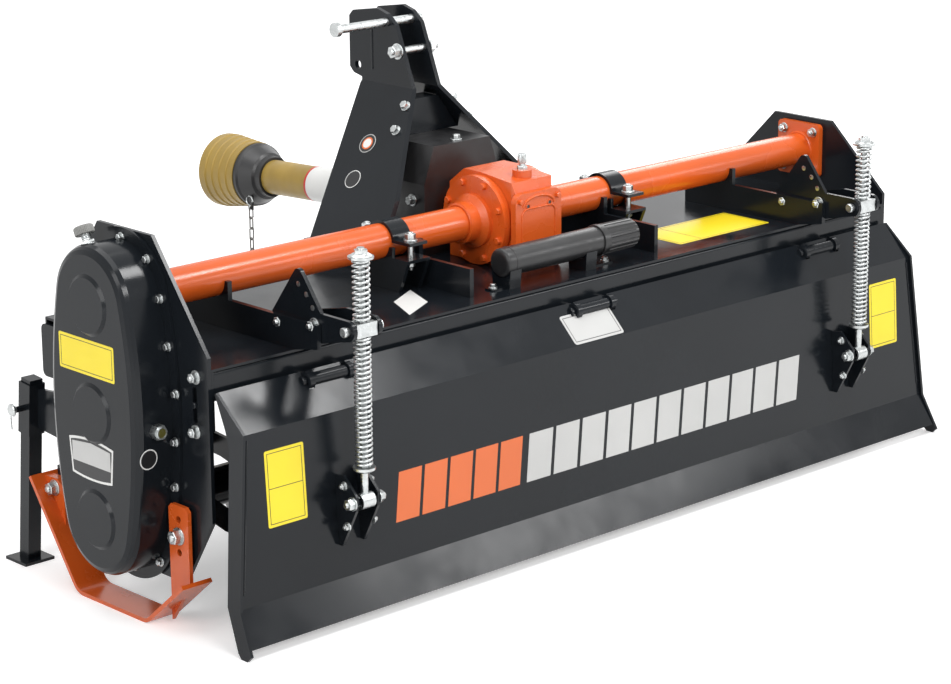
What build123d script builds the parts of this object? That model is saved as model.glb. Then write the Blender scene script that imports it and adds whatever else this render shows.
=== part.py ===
from build123d import *
import math
import os

# Rotavator (tractor-mounted rotary tiller), parked on its skids, stand and tailboard.
# Millimetres. +X is to the right seen from behind, +Y is forward, towards the tractor, +Z is up.
# While it is modelled, Y = 0 is the cross tube's axis and Z = 0 is the ground.

# ---------------------------------------------------------------- driving dimensions
SIDE_X = 945              # outer face of each side plate, from the middle
SIDE_T = 8                # side plate thickness
TUBE_Z = 598              # height of the cross tube's axis
TUBE_R = 35
TUBE_WALL = 5
ROTOR_Z = 190             # height of the rotor's axis
DECK_Z = 506              # top face of the hood's deck
DECK_T = 5
HOOD_REAR_Y = -235
HOOD_FRONT_Y = 275
APRON_Z = 390             # lower edge of the hood's front apron
ROD_X = 700               # spring rods, from the middle
CLAMP_X = 305             # tube clamps, from the middle

SEAT = 0.3                # gap between pieces that rest on each other
FIT = 0.05                # radial clearance of a journal in its bearing
RUN = 6                   # gap between moving pieces
HOLE_SIDES = 12           # small holes are cut with flats

DECK_TOP = DECK_Z + SEAT  # where pieces stand on the deck
HOOD_X = SIDE_X - SIDE_T - SEAT

pieces = []


def keep(piece, label):
    """Name a finished piece and put it with the others."""
    piece.label = label
    pieces.append(piece)


def across(x):
    """A sketch plane at x, with sketch axes Y and Z, that extrudes towards +X."""
    return Plane.YZ.offset(x)


def facing(y):
    """A sketch plane at y, with sketch axes X and Z, that extrudes towards the rear."""
    return Plane.XZ.offset(-y)


# ---------------------------------------------------------------- hood, rail and side plates
SIDE_FRONT_Y = 222        # front edge of the side plates and of the hood's ends
with BuildPart() as hood:
    with BuildSketch(across(-HOOD_X)):
        with BuildLine():
            Polyline(
                (HOOD_FRONT_Y, APRON_Z),
                (HOOD_FRONT_Y, DECK_Z),
                (HOOD_REAR_Y, DECK_Z),
                (HOOD_REAR_Y, DECK_Z - DECK_T),
                (HOOD_FRONT_Y - DECK_T, DECK_Z - DECK_T),
                (HOOD_FRONT_Y - DECK_T, APRON_Z),
                close=True,
            )
        make_face()
    extrude(amount=2 * HOOD_X)
    for end_x in (-HOOD_X, HOOD_X - DECK_T):
        with BuildSketch(across(end_x)):
            with Locations(((HOOD_REAR_Y + SIDE_FRONT_Y) / 2, (APRON_Z + DECK_Z) / 2)):
                Rectangle(SIDE_FRONT_Y - HOOD_REAR_Y, DECK_Z - APRON_Z)
        extrude(amount=DECK_T)
keep(hood.part, "hood")

RAIL_H = 56
RAIL_DEPTH = 40
RAIL_WALL = 4
RAIL_CORNER = 7
RAIL_TOP = DECK_Z - DECK_T - SEAT
RAIL_HALF = HOOD_X - DECK_T - SEAT
with BuildPart() as rear_rail:
    with BuildSketch(across(-RAIL_HALF)):
        with Locations((HOOD_REAR_Y + RAIL_DEPTH / 2, RAIL_TOP - RAIL_H / 2)):
            RectangleRounded(RAIL_DEPTH, RAIL_H, RAIL_CORNER)
            RectangleRounded(
                RAIL_DEPTH - 2 * RAIL_WALL, RAIL_H - 2 * RAIL_WALL, RAIL_CORNER - RAIL_WALL, mode=Mode.SUBTRACT
            )
    extrude(amount=2 * RAIL_HALF)
keep(rear_rail.part, "rear_rail")

SIDE_HUMP_Y = 82          # half length of a side plate's top edge
SIDE_RISE_L = 129         # top edge over the tube's axis, behind the chain case
SIDE_RISE_R = 72          # and on the right
SHOULDER_Z = DECK_Z + 22  # where a side plate's slopes meet its upright edges
CHIN_Z = 218              # where its upright edges meet its chamfers
FOOT_Z = 82
FOOT_Y = 150
JOURNAL_R = 20            # rotor journal in its bearings
JOURNAL_LEN = 30          # how far a journal reaches past its side plate
SLOT_LEN = 68             # upright slots that set the side plate's height
SLOT_W = 13
SLOT_INSET = 40           # from the plate's upright edges
SLOT_Z = 434
TAB_OUT = 3               # how far the ears that close the hood's front stand past it
TAB_LOW = 391
TAB_HIGH = 495
TAB_CORNER = 12
SKID_T = 8
SKID_LOW = 0              # skids' under side
SKID_FRONT = (272, 198)   # top of a skid's front arm
SKID_TOE_Y = 128          # front bend of its under side
SHIN_H = 76               # lugs that carry the skids' front bolts
SHIN_STEP = 34
TAB_LEN = 2 * (HOOD_FRONT_Y + TAB_OUT - SIDE_FRONT_Y)


def arm_rear_y(z):
    """Rear face of a skid's front arm at height z."""
    rise = SKID_FRONT[1] - SKID_LOW
    run = SKID_FRONT[0] - SKID_TOE_Y
    return SKID_TOE_Y + (z - SKID_LOW) * run / rise - SKID_T * math.hypot(run, rise) / rise


for side, sign, rise in (("left", -1, SIDE_RISE_L), ("right", 1, SIDE_RISE_R)):
    inner_x = min(sign * SIDE_X, sign * (SIDE_X - SIDE_T))
    with BuildPart() as side_plate:
        with BuildSketch(across(inner_x)):
            with BuildLine():
                Polyline(
                    (-SIDE_HUMP_Y, TUBE_Z + rise),
                    (HOOD_REAR_Y, SHOULDER_Z),
                    (HOOD_REAR_Y, CHIN_Z),
                    (-FOOT_Y, FOOT_Z),
                    (FOOT_Y, FOOT_Z),
                    (SIDE_FRONT_Y, CHIN_Z),
                    (SIDE_FRONT_Y, SHOULDER_Z),
                    (SIDE_HUMP_Y, TUBE_Z + rise),
                    close=True,
                )
            make_face()
            with Locations((HOOD_FRONT_Y + TAB_OUT - TAB_LEN / 2, (TAB_LOW + TAB_HIGH) / 2)):
                RectangleRounded(TAB_LEN, TAB_HIGH - TAB_LOW, TAB_CORNER)
            with BuildLine():
                Polyline(
                    (FOOT_Y, CHIN_Z),
                    (arm_rear_y(CHIN_Z - SHIN_STEP) - RUN, CHIN_Z),
                    (arm_rear_y(CHIN_Z - SHIN_STEP) - RUN, CHIN_Z - SHIN_STEP),
                    (arm_rear_y(CHIN_Z - SHIN_H) - RUN, CHIN_Z - SHIN_H),
                    (FOOT_Y, CHIN_Z - SHIN_H),
                    close=True,
                )
            make_face()
            with Locations((0, ROTOR_Z)):
                Circle(JOURNAL_R + SEAT, mode=Mode.SUBTRACT)
            with Locations((HOOD_REAR_Y + SLOT_INSET, SLOT_Z), (SIDE_FRONT_Y - SLOT_INSET, SLOT_Z)):
                SlotOverall(SLOT_LEN, SLOT_W, rotation=90, mode=Mode.SUBTRACT)
        extrude(amount=SIDE_T)
    keep(side_plate.part, f"side_plate_{side}")

# ---------------------------------------------------------------- chain case
CASE_FLANGE_T = 6
CASE_DEPTH = 87           # from the side plate to the face of the cover
CASE_R = 110              # cover radius round both sprocket shafts
CASE_BULGE = 133          # half width at the chain tensioner
CASE_RIM = 22             # width of the bolting flange round the cover
CASE_MID_Z = (TUBE_Z + ROTOR_Z) / 2
CASE_EDGE = 12            # chamfer round the cover's face
CASE_EASE = 5             # and the two that ease its edges
CASE_FACE_X = -SIDE_X - CASE_DEPTH
CASE_MID_X = -SIDE_X - CASE_DEPTH / 2
BOSS_R = 58               # raised discs pressed into the cover's face
BOSS_RISE = 4.5
BOSS_TAPER = 55


def case_outline(rim):
    """Closed outline of the chain case, rim wider than the cover all round."""
    end_r = CASE_R + rim
    half = (TUBE_Z - ROTOR_Z) / 2
    gap = CASE_BULGE - CASE_R
    flank = (half**2 - gap**2) / (2 * gap)
    lean = math.atan2(half, flank)
    side_y = end_r * math.cos(lean)
    side_z = end_r * math.sin(lean)
    mid_y = CASE_BULGE + rim
    ThreePointArc((-side_y, TUBE_Z + side_z), (0, TUBE_Z + end_r), (side_y, TUBE_Z + side_z))
    ThreePointArc((side_y, TUBE_Z + side_z), (mid_y, CASE_MID_Z), (side_y, ROTOR_Z - side_z))
    ThreePointArc((side_y, ROTOR_Z - side_z), (0, ROTOR_Z - end_r), (-side_y, ROTOR_Z - side_z))
    ThreePointArc((-side_y, ROTOR_Z - side_z), (-mid_y, CASE_MID_Z), (-side_y, TUBE_Z + side_z))


with BuildPart() as chain_case:
    with BuildSketch(across(-SIDE_X - SEAT)):
        with BuildLine():
            case_outline(CASE_RIM)
        make_face()
    extrude(amount=-CASE_FLANGE_T)
    with BuildSketch(across(-SIDE_X - CASE_FLANGE_T)):
        with BuildLine():
            case_outline(0)
        make_face()
    extrude(amount=-(CASE_DEPTH - CASE_FLANGE_T))
    chamfer(chain_case.faces().sort_by(Axis.X)[0].edges(), CASE_EDGE)
    for edge_x in (CASE_FACE_X, CASE_FACE_X + CASE_EDGE):
        at_edge = chain_case.edges().filter_by_position(Axis.X, edge_x - SEAT, edge_x + SEAT)
        chamfer(at_edge, CASE_EASE)
    with BuildSketch(across(CASE_FACE_X)):
        with Locations((0, TUBE_Z), (0, CASE_MID_Z), (0, ROTOR_Z)):
            Circle(BOSS_R)
    extrude(amount=-BOSS_RISE, taper=BOSS_TAPER)
    with BuildSketch(across(-SIDE_X)):
        with Locations((0, ROTOR_Z)):
            Circle(JOURNAL_R + FIT)
    extrude(amount=-(JOURNAL_LEN + SEAT), mode=Mode.SUBTRACT)
keep(chain_case.part, "chain_case")

CAP_LEAN = math.radians(27)
CAP_NECK_R = 11
CAP_NECK_LEN = 18
CAP_R = 19
CAP_H = 17
CAP_EDGE = 3
cap_plane = Plane(
    origin=(
        CASE_MID_X,
        (CASE_R + SEAT) * math.sin(CAP_LEAN),
        TUBE_Z + (CASE_R + SEAT) * math.cos(CAP_LEAN),
    ),
    x_dir=(1, 0, 0),
    z_dir=(0, math.sin(CAP_LEAN), math.cos(CAP_LEAN)),
)
with BuildPart() as filler_cap:
    with BuildSketch(cap_plane):
        Circle(CAP_NECK_R)
    extrude(amount=CAP_NECK_LEN)
    with BuildSketch(cap_plane.offset(CAP_NECK_LEN)):
        Circle(CAP_R)
    extrude(amount=CAP_H)
    chamfer(filler_cap.edges().sort_by(lambda edge: edge.center().Z)[-1], CAP_EDGE)
keep(filler_cap.part, "filler_cap")

SIGHT_Z = CASE_MID_Z - 13
SIGHT_R = 15
SIGHT_LEN = 16
with BuildPart() as sight_glass:
    with BuildSketch(facing(-CASE_BULGE - SEAT)):
        with Locations((CASE_MID_X, SIGHT_Z)):
            RegularPolygon(SIGHT_R, 6)
    extrude(amount=SIGHT_LEN)
    with BuildSketch(facing(-CASE_BULGE - SEAT - SIGHT_LEN)):
        with Locations((CASE_MID_X, SIGHT_Z)):
            Circle(SIGHT_R * 0.8)
    extrude(amount=2)
keep(sight_glass.part, "sight_glass")

# ---------------------------------------------------------------- cross tube and gearbox
GEAR_X = 66               # half width of the gearbox casting
BODY_X = 56               # half width of its middle, behind the bearing housings
GEAR_REAR_Y = -110
COVER_T = 14              # thickness of the rear cover
COVER_CORNER = 20
COVER_TOP = TUBE_Z + 66
GEAR_FRONT_Y = 100
GEAR_TOP = 96             # top of the casting over the tube's axis
HOUSING_R = 84            # bearing housings round the tube's axis
HOUSING_RIM = 9           # thickness of their bolting rims
FLANGE_R = min(91, TUBE_Z - DECK_TOP)
FLANGE_W = 10
HUB_BASE_R = 55           # ring at the hub's root
HUB_STEP = 9
HUB_R = 42
HUB_X = 120               # end of the hub that takes the tube
INPUT_R = 52              # round boss of the input shaft
INPUT_Y = GEAR_FRONT_Y + 12
FILL_Y = -62              # boss of the breather plug
FILL_R = 20
with BuildPart() as gearbox:
    with BuildSketch(across(-BODY_X)):
        with BuildLine():
            Polyline(
                (GEAR_REAR_Y + COVER_T, DECK_TOP),
                (GEAR_REAR_Y + COVER_T, TUBE_Z + 0.62 * GEAR_TOP),
                (FILL_Y - FILL_R - COVER_T / 2, TUBE_Z + 0.9 * GEAR_TOP),
                (0, TUBE_Z + GEAR_TOP),
                (GEAR_FRONT_Y / 2, TUBE_Z + GEAR_TOP),
                (GEAR_FRONT_Y, TUBE_Z + 0.6 * GEAR_TOP),
                (GEAR_FRONT_Y, DECK_TOP),
                close=True,
            )
        make_face()
    extrude(amount=2 * BODY_X)
    chamfer(gearbox.edges().filter_by(Axis.Z), COVER_T / 2)
    with BuildSketch(across(-GEAR_X)):
        with Locations((0, TUBE_Z)):
            Circle(HOUSING_R)
    extrude(amount=2 * GEAR_X)
    for start in (-GEAR_X, GEAR_X - HOUSING_RIM):
        with BuildSketch(across(start)):
            with Locations((0, TUBE_Z)):
                Circle(FLANGE_R)
        extrude(amount=HOUSING_RIM)
    with BuildSketch(facing(GEAR_REAR_Y + COVER_T)):
        with Locations((0, (DECK_TOP + COVER_TOP) / 2)):
            RectangleRounded(2 * GEAR_X - 4, COVER_TOP - DECK_TOP, COVER_CORNER)
    extrude(amount=COVER_T)
    with BuildSketch(facing(GEAR_FRONT_Y)):
        with Locations((0, TUBE_Z)):
            Circle(INPUT_R)
    extrude(amount=-(INPUT_Y - GEAR_FRONT_Y))
    with BuildSketch(Plane.XY.offset(COVER_TOP)):
        with Locations((0, FILL_Y)):
            Circle(FILL_R)
    extrude(amount=TUBE_Z + GEAR_TOP + COVER_T / 2 - COVER_TOP)
keep(gearbox.part, "gearbox")

hub_start = GEAR_X + SEAT
with BuildPart() as gearbox_hubs:
    with BuildSketch(facing(0)):
        with BuildLine():
            Polyline(
                (hub_start, TUBE_Z),
                (hub_start, TUBE_Z + FLANGE_R),
                (hub_start + FLANGE_W, TUBE_Z + FLANGE_R),
                (hub_start + FLANGE_W, TUBE_Z + HUB_BASE_R),
                (hub_start + FLANGE_W + HUB_STEP, TUBE_Z + HUB_BASE_R),
                (hub_start + FLANGE_W + 2 * HUB_STEP, TUBE_Z + HUB_R),
                (HUB_X - SEAT, TUBE_Z + HUB_R),
                (HUB_X - SEAT, TUBE_Z),
                close=True,
            )
        make_face()
    revolve(axis=Axis((0, 0, TUBE_Z), (1, 0, 0)))
    mirror(about=Plane.YZ)
keep(gearbox_hubs.part, "gearbox_hubs")

with BuildPart() as cross_tube:
    for start, end in ((-SIDE_X + SIDE_T + SEAT, -HUB_X), (HUB_X, SIDE_X - SIDE_T - SEAT)):
        with BuildSketch(across(start)):
            with Locations((0, TUBE_Z)):
                Circle(TUBE_R)
                Circle(TUBE_R - TUBE_WALL, mode=Mode.SUBTRACT)
        extrude(amount=end - start)
keep(cross_tube.part, "cross_tube")

FLANGE_SIZE = 120
FLANGE_T = 12
FLANGE_BOLT = 42
with BuildPart() as tube_flange:
    with BuildSketch(across(SIDE_X - SIDE_T - SEAT - FLANGE_T)):
        with Locations((0, TUBE_Z)):
            RectangleRounded(FLANGE_SIZE, FLANGE_SIZE, 10)
            Circle(TUBE_R + SEAT, mode=Mode.SUBTRACT)
    extrude(amount=FLANGE_T)
keep(tube_flange.part, "tube_flange")

# ---------------------------------------------------------------- front beam and lower hitch
BEAM_X = 276
BEAM_SIZE = 36
BEAM_WALL = 4
BEAM_REAR_Y = HOOD_FRONT_Y - 12
BEAM_TOP = DECK_TOP + BEAM_SIZE
SHOE_X = 235              # inner side of the shoes under the mast's legs
SHOE_REAR_Y = 98
with BuildPart() as front_beam:
    with BuildSketch(across(-BEAM_X)):
        with Locations((BEAM_REAR_Y + BEAM_SIZE / 2, DECK_TOP + BEAM_SIZE / 2)):
            Rectangle(BEAM_SIZE, BEAM_SIZE)
            Rectangle(BEAM_SIZE - 2 * BEAM_WALL, BEAM_SIZE - 2 * BEAM_WALL, mode=Mode.SUBTRACT)
    extrude(amount=2 * BEAM_X)
    with BuildSketch(Plane.XY.offset(DECK_TOP)):
        for sign in (-1, 1):
            with Locations((sign * (SHOE_X + BEAM_X) / 2, (SHOE_REAR_Y + BEAM_REAR_Y) / 2)):
                Rectangle(BEAM_X - SHOE_X, BEAM_REAR_Y - SHOE_REAR_Y)
    extrude(amount=BEAM_SIZE)
keep(front_beam.part, "front_beam")

EAR_X = 316               # outer face of the outer hitch ears
EAR_GAP = 38
EAR_T = 12
EAR_R = 30
PIN_Y = 380
PIN_Z = 460
PIN_R = 11                # category 1 lower hitch pin
PIN_OUT = 110
PIN_COLLAR = 3
with BuildPart() as lower_hitch:
    for sign in (-1, 1):
        for ear_x in (EAR_X - EAR_T, EAR_X - 2 * EAR_T - EAR_GAP):
            with BuildSketch(across(sign * ear_x - (EAR_T if sign < 0 else 0))):
                with BuildLine():
                    Polyline(
                        (HOOD_FRONT_Y + SEAT, DECK_Z - 6),
                        (HOOD_FRONT_Y + SEAT, APRON_Z + 6),
                        (PIN_Y, PIN_Z - EAR_R),
                        (PIN_Y, PIN_Z + EAR_R),
                        close=True,
                    )
                make_face()
                with Locations((PIN_Y, PIN_Z)):
                    Circle(EAR_R)
            extrude(amount=EAR_T)
        for start, length, radius in (
            (EAR_X - 2 * EAR_T - EAR_GAP, 2 * EAR_T + EAR_GAP, PIN_R - 1),
            (EAR_X, PIN_COLLAR, PIN_R + 6),
            (EAR_X + PIN_COLLAR, PIN_OUT, PIN_R),
        ):
            with BuildSketch(across(sign * start)):
                with Locations((PIN_Y, PIN_Z)):
                    Circle(radius)
            extrude(amount=sign * length)
keep(lower_hitch.part, "lower_hitch")

# ---------------------------------------------------------------- mast
MAST_X = 40               # outer face of each upper cheek
MAST_T = 10
MAST_TOP = 988
MAST_BEND_Z = 832
MAST_FRONT_Y = 418
MAST_CORNER = 12
MAST_FOOT_X = 262         # outer face of each leg where it meets its shoe
MAST_FOOT_Z = BEAM_TOP + SEAT
TOP_PIN = (300, MAST_TOP - 26)
SPARE_HOLE = (392, MAST_BEND_Z + 30)
TOP_PIN_R = 9.5           # category 1 top link pin holes
PIN_SLACK = 0.3
mast_drop = MAST_BEND_Z - MAST_FOOT_Z
mast_flare = MAST_FOOT_X - MAST_X
mast_lean = math.atan2(mast_flare, mast_drop)


def leg_inner_x(z):
    """Inner face of a flared mast leg at height z."""
    return MAST_X + (MAST_BEND_Z - z) * math.tan(mast_lean) - MAST_T / math.cos(mast_lean)


with BuildPart() as mast:
    for sign in (-1, 1):
        with BuildSketch(facing(MAST_FRONT_Y)):
            with BuildLine():
                Polyline(
                    (sign * MAST_X, MAST_TOP),
                    (sign * MAST_X, MAST_BEND_Z),
                    (sign * MAST_FOOT_X, MAST_FOOT_Z),
                    (sign * leg_inner_x(MAST_FOOT_Z), MAST_FOOT_Z),
                    (sign * (MAST_X - MAST_T), MAST_BEND_Z - MAST_T * math.tan(mast_lean / 2)),
                    (sign * (MAST_X - MAST_T), MAST_TOP),
                    close=True,
                )
            make_face()
        extrude(amount=MAST_FRONT_Y)
    with BuildSketch(across(-MAST_FOOT_X)):
        with BuildLine():
            Polyline(
                (SHOE_REAR_Y, MAST_FOOT_Z),
                (BEAM_REAR_Y + BEAM_SIZE - 4, MAST_FOOT_Z),
                (SPARE_HOLE[0] - MAST_CORNER, MAST_BEND_Z - MAST_CORNER / 2),
                (SPARE_HOLE[0] - MAST_CORNER, MAST_BEND_Z + MAST_CORNER / 2),
                (MAST_FRONT_Y - MAST_CORNER, MAST_BEND_Z + MAST_CORNER),
                (MAST_FRONT_Y, MAST_BEND_Z + 2 * MAST_CORNER),
                (MAST_FRONT_Y, MAST_TOP - 2 * MAST_CORNER),
                (MAST_FRONT_Y - MAST_CORNER, MAST_TOP - MAST_CORNER),
                (TOP_PIN[0] + 30, MAST_TOP),
                (298, MAST_TOP - 9),
                (272, MAST_TOP - 30),
                (222, MAST_BEND_Z),
                (110, TUBE_Z + 38),
                (SHOE_REAR_Y, TUBE_Z),
                close=True,
            )
        make_face()
        with Locations(TOP_PIN, SPARE_HOLE):
            Circle(TOP_PIN_R, mode=Mode.SUBTRACT)
    extrude(amount=2 * MAST_FOOT_X, mode=Mode.INTERSECT)
keep(mast.part, "mast")

PIN_HEAD_X = -182
PIN_HEAD_R = 15
PIN_HEAD_T = 10
with BuildPart() as top_link_pin:
    with BuildSketch(across(PIN_HEAD_X)):
        with Locations(TOP_PIN):
            Circle(PIN_HEAD_R)
    extrude(amount=PIN_HEAD_T)
    with BuildSketch(across(PIN_HEAD_X)):
        with Locations(TOP_PIN):
            Circle(TOP_PIN_R - PIN_SLACK)
    extrude(amount=MAST_X + 14 - PIN_HEAD_X)
keep(top_link_pin.part, "top_link_pin")

SHIELD_TOP = 732          # top of the drive shaft's shield, under the web
WEB_Y = 240
WEB_T = 6
WEB_TOP = MAST_BEND_Z - 26
WEB_LOW = SHIELD_TOP + SEAT
WEB_LIP = 45
with BuildPart() as mast_web:
    with BuildSketch(facing(WEB_Y)):
        with BuildLine():
            Polyline(
                (-leg_inner_x(WEB_TOP) + SEAT, WEB_TOP),
                (leg_inner_x(WEB_TOP) - SEAT, WEB_TOP),
                (leg_inner_x(WEB_LOW) - SEAT, WEB_LOW),
                (-leg_inner_x(WEB_LOW) + SEAT, WEB_LOW),
                close=True,
            )
        make_face()
    extrude(amount=-WEB_T)
    with BuildSketch(Plane.XY.offset(WEB_TOP - WEB_T)):
        with Locations((0, WEB_Y + WEB_LIP / 2)):
            Rectangle(2 * leg_inner_x(WEB_TOP) - 2 * SEAT, WEB_LIP)
    extrude(amount=WEB_T)
keep(mast_web.part, "mast_web")

# ---------------------------------------------------------------- drive shaft shield
SHIELD_TOP_X = 78
SHIELD_X = 105
SHIELD_SHOULDER = 655
SHIELD_T = 4
SHIELD_REAR_Y = 116
SHIELD_FRONT_Y = BEAM_REAR_Y - SEAT
SHIELD_HOLE_R = 48        # round the drive shaft
with BuildPart() as pto_shield:
    with BuildSketch(facing(SHIELD_REAR_Y)):
        with BuildLine():
            Polyline(
                (-SHIELD_X, DECK_TOP),
                (-SHIELD_X, SHIELD_SHOULDER),
                (-SHIELD_TOP_X, SHIELD_TOP),
                (SHIELD_TOP_X, SHIELD_TOP),
                (SHIELD_X, SHIELD_SHOULDER),
                (SHIELD_X, DECK_TOP),
                (SHIELD_X - SHIELD_T, DECK_TOP),
                (SHIELD_X - SHIELD_T, SHIELD_SHOULDER - 1),
                (SHIELD_TOP_X - SHIELD_T, SHIELD_TOP - SHIELD_T),
                (-SHIELD_TOP_X + SHIELD_T, SHIELD_TOP - SHIELD_T),
                (-SHIELD_X + SHIELD_T, SHIELD_SHOULDER - 1),
                (-SHIELD_X + SHIELD_T, DECK_TOP),
                close=True,
            )
        make_face()
    extrude(amount=-(SHIELD_FRONT_Y - SHIELD_REAR_Y))
    with BuildSketch(facing(SHIELD_REAR_Y)):
        with BuildLine():
            Polyline(
                (-SHIELD_X, DECK_TOP),
                (-SHIELD_X, SHIELD_SHOULDER),
                (-SHIELD_TOP_X, SHIELD_TOP),
                (SHIELD_TOP_X, SHIELD_TOP),
                (SHIELD_X, SHIELD_SHOULDER),
                (SHIELD_X, DECK_TOP),
                close=True,
            )
        make_face()
        with Locations((0, TUBE_Z)):
            Circle(SHIELD_HOLE_R, mode=Mode.SUBTRACT)
    extrude(amount=-SHIELD_T)
keep(pto_shield.part, "pto_shield")

# ---------------------------------------------------------------- ribs and clamps
RIB_T = 10
RIB_TOP = DECK_Z + 57
RIB_FRONT_Y = 95
RIB_HEEL = 12
INNER_RIB_X = CLAMP_X - 40
INNER_RIB_REAR_Y = -190
RIB_DX = -45              # outer face of a rod's rib, from the rod
OUTER_RIB_REAR_Y = -300
SADDLE_Y = 44             # half width of a rib's cradle round the tube
with BuildPart() as tube_ribs:
    for rib_x, rear_y in (
        (-INNER_RIB_X, INNER_RIB_REAR_Y),
        (INNER_RIB_X - RIB_T, INNER_RIB_REAR_Y),
        (-ROD_X + RIB_DX, OUTER_RIB_REAR_Y),
        (ROD_X + RIB_DX, OUTER_RIB_REAR_Y),
    ):
        with BuildSketch(across(rib_x)):
            with BuildLine():
                Polyline(
                    (max(rear_y, HOOD_REAR_Y), DECK_TOP),
                    (rear_y, DECK_TOP + RIB_HEEL),
                    (rear_y, RIB_TOP),
                    (-SADDLE_Y, RIB_TOP),
                    (-SADDLE_Y, TUBE_Z),
                    (SADDLE_Y, TUBE_Z),
                    (SADDLE_Y, RIB_TOP),
                    (RIB_FRONT_Y, RIB_TOP - 20),
                    (RIB_FRONT_Y, DECK_TOP),
                    close=True,
                )
            make_face()
            with Locations((0, TUBE_Z)):
                Circle(TUBE_R + SEAT, mode=Mode.SUBTRACT)
        extrude(amount=RIB_T)
keep(tube_ribs.part, "tube_ribs")

CLAMP_W = 60
CLAMP_T = 8
STRAP_W = 46
STRAP_T = 6
CLAMP_EAR_Y = 88
CLAMP_FOOT_Y = 62
CLAMP_LIP_Z = TUBE_Z - 26 # top of the lips that take the strap's bolts
CLAMP_SPLIT = 5           # how far the strap's ears stand over the tube's axis
with BuildPart() as tube_clamps:
    for sign in (-1, 1):
        for way in (-1, 1):
            with BuildSketch(across(sign * (CLAMP_X + 1) + way * (CLAMP_W - CLAMP_T) / 2 - CLAMP_T / 2)):
                with BuildLine():
                    Polyline(
                        (-CLAMP_FOOT_Y, DECK_TOP),
                        (-CLAMP_EAR_Y, CLAMP_LIP_Z - STRAP_T),
                        (-CLAMP_EAR_Y, CLAMP_LIP_Z),
                        (-SADDLE_Y, CLAMP_LIP_Z),
                        (-SADDLE_Y, TUBE_Z - STRAP_T),
                        (SADDLE_Y, TUBE_Z - STRAP_T),
                        (SADDLE_Y, CLAMP_LIP_Z),
                        (CLAMP_EAR_Y, CLAMP_LIP_Z),
                        (CLAMP_EAR_Y, CLAMP_LIP_Z - STRAP_T),
                        (CLAMP_FOOT_Y, DECK_TOP),
                        close=True,
                    )
                make_face()
                with Locations((0, TUBE_Z)):
                    Circle(TUBE_R + SEAT, mode=Mode.SUBTRACT)
            extrude(amount=CLAMP_T)
        with BuildSketch(Plane.XY.offset(CLAMP_LIP_Z - STRAP_T)):
            for way in (-1, 1):
                with Locations((sign * (CLAMP_X + 1), way * (SADDLE_Y + CLAMP_EAR_Y) / 2)):
                    Rectangle(CLAMP_W, CLAMP_EAR_Y - SADDLE_Y)
        extrude(amount=STRAP_T)
        with BuildSketch(across(sign * (CLAMP_X + 1) - STRAP_W / 2)):
            with Locations((0, TUBE_Z)):
                Circle(TUBE_R + SEAT + STRAP_T)
            with Locations((0, TUBE_Z + CLAMP_SPLIT)):
                Rectangle(2 * CLAMP_EAR_Y, STRAP_T)
            with Locations((0, TUBE_Z)):
                Circle(TUBE_R + SEAT, mode=Mode.SUBTRACT)
            with Locations((0, TUBE_Z + CLAMP_SPLIT - STRAP_T / 2 - TUBE_R)):
                Rectangle(4 * CLAMP_EAR_Y, 2 * TUBE_R, mode=Mode.SUBTRACT)
        extrude(amount=STRAP_W)
keep(tube_clamps.part, "tube_clamps")

# ---------------------------------------------------------------- canister
CAN_R = 41
CAN_HALF = 206
CAN_Y = -180
CAN_CAP = 104             # length of the screwed cap
CAN_CAP_RISE = 2
CAN_EDGE = 5
CAN_FOOT_T = 5
CAN_FOOT_X = 150
CAN_Z = DECK_TOP + CAN_R + CAN_CAP_RISE
with BuildPart() as canister:
    with BuildSketch(across(-CAN_HALF)):
        with Locations((CAN_Y, CAN_Z)):
            Circle(CAN_R)
    extrude(amount=2 * CAN_HALF - CAN_CAP)
    with BuildSketch(across(CAN_HALF - CAN_CAP)):
        with Locations((CAN_Y, CAN_Z)):
            Circle(CAN_R + CAN_CAP_RISE)
    extrude(amount=CAN_CAP)
    chamfer(canister.edges().sort_by(Axis.X)[0], CAN_EDGE)
    chamfer(canister.edges().sort_by(Axis.X)[-1], CAN_EDGE)
    with BuildSketch(Plane.XY.offset(DECK_TOP)):
        with Locations((-CAN_FOOT_X, CAN_Y - 6), (CAN_FOOT_X, CAN_Y - 6)):
            Rectangle(30, 2 * CAN_R + 20)
    extrude(amount=CAN_FOOT_T)
keep(canister.part, "canister")

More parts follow.
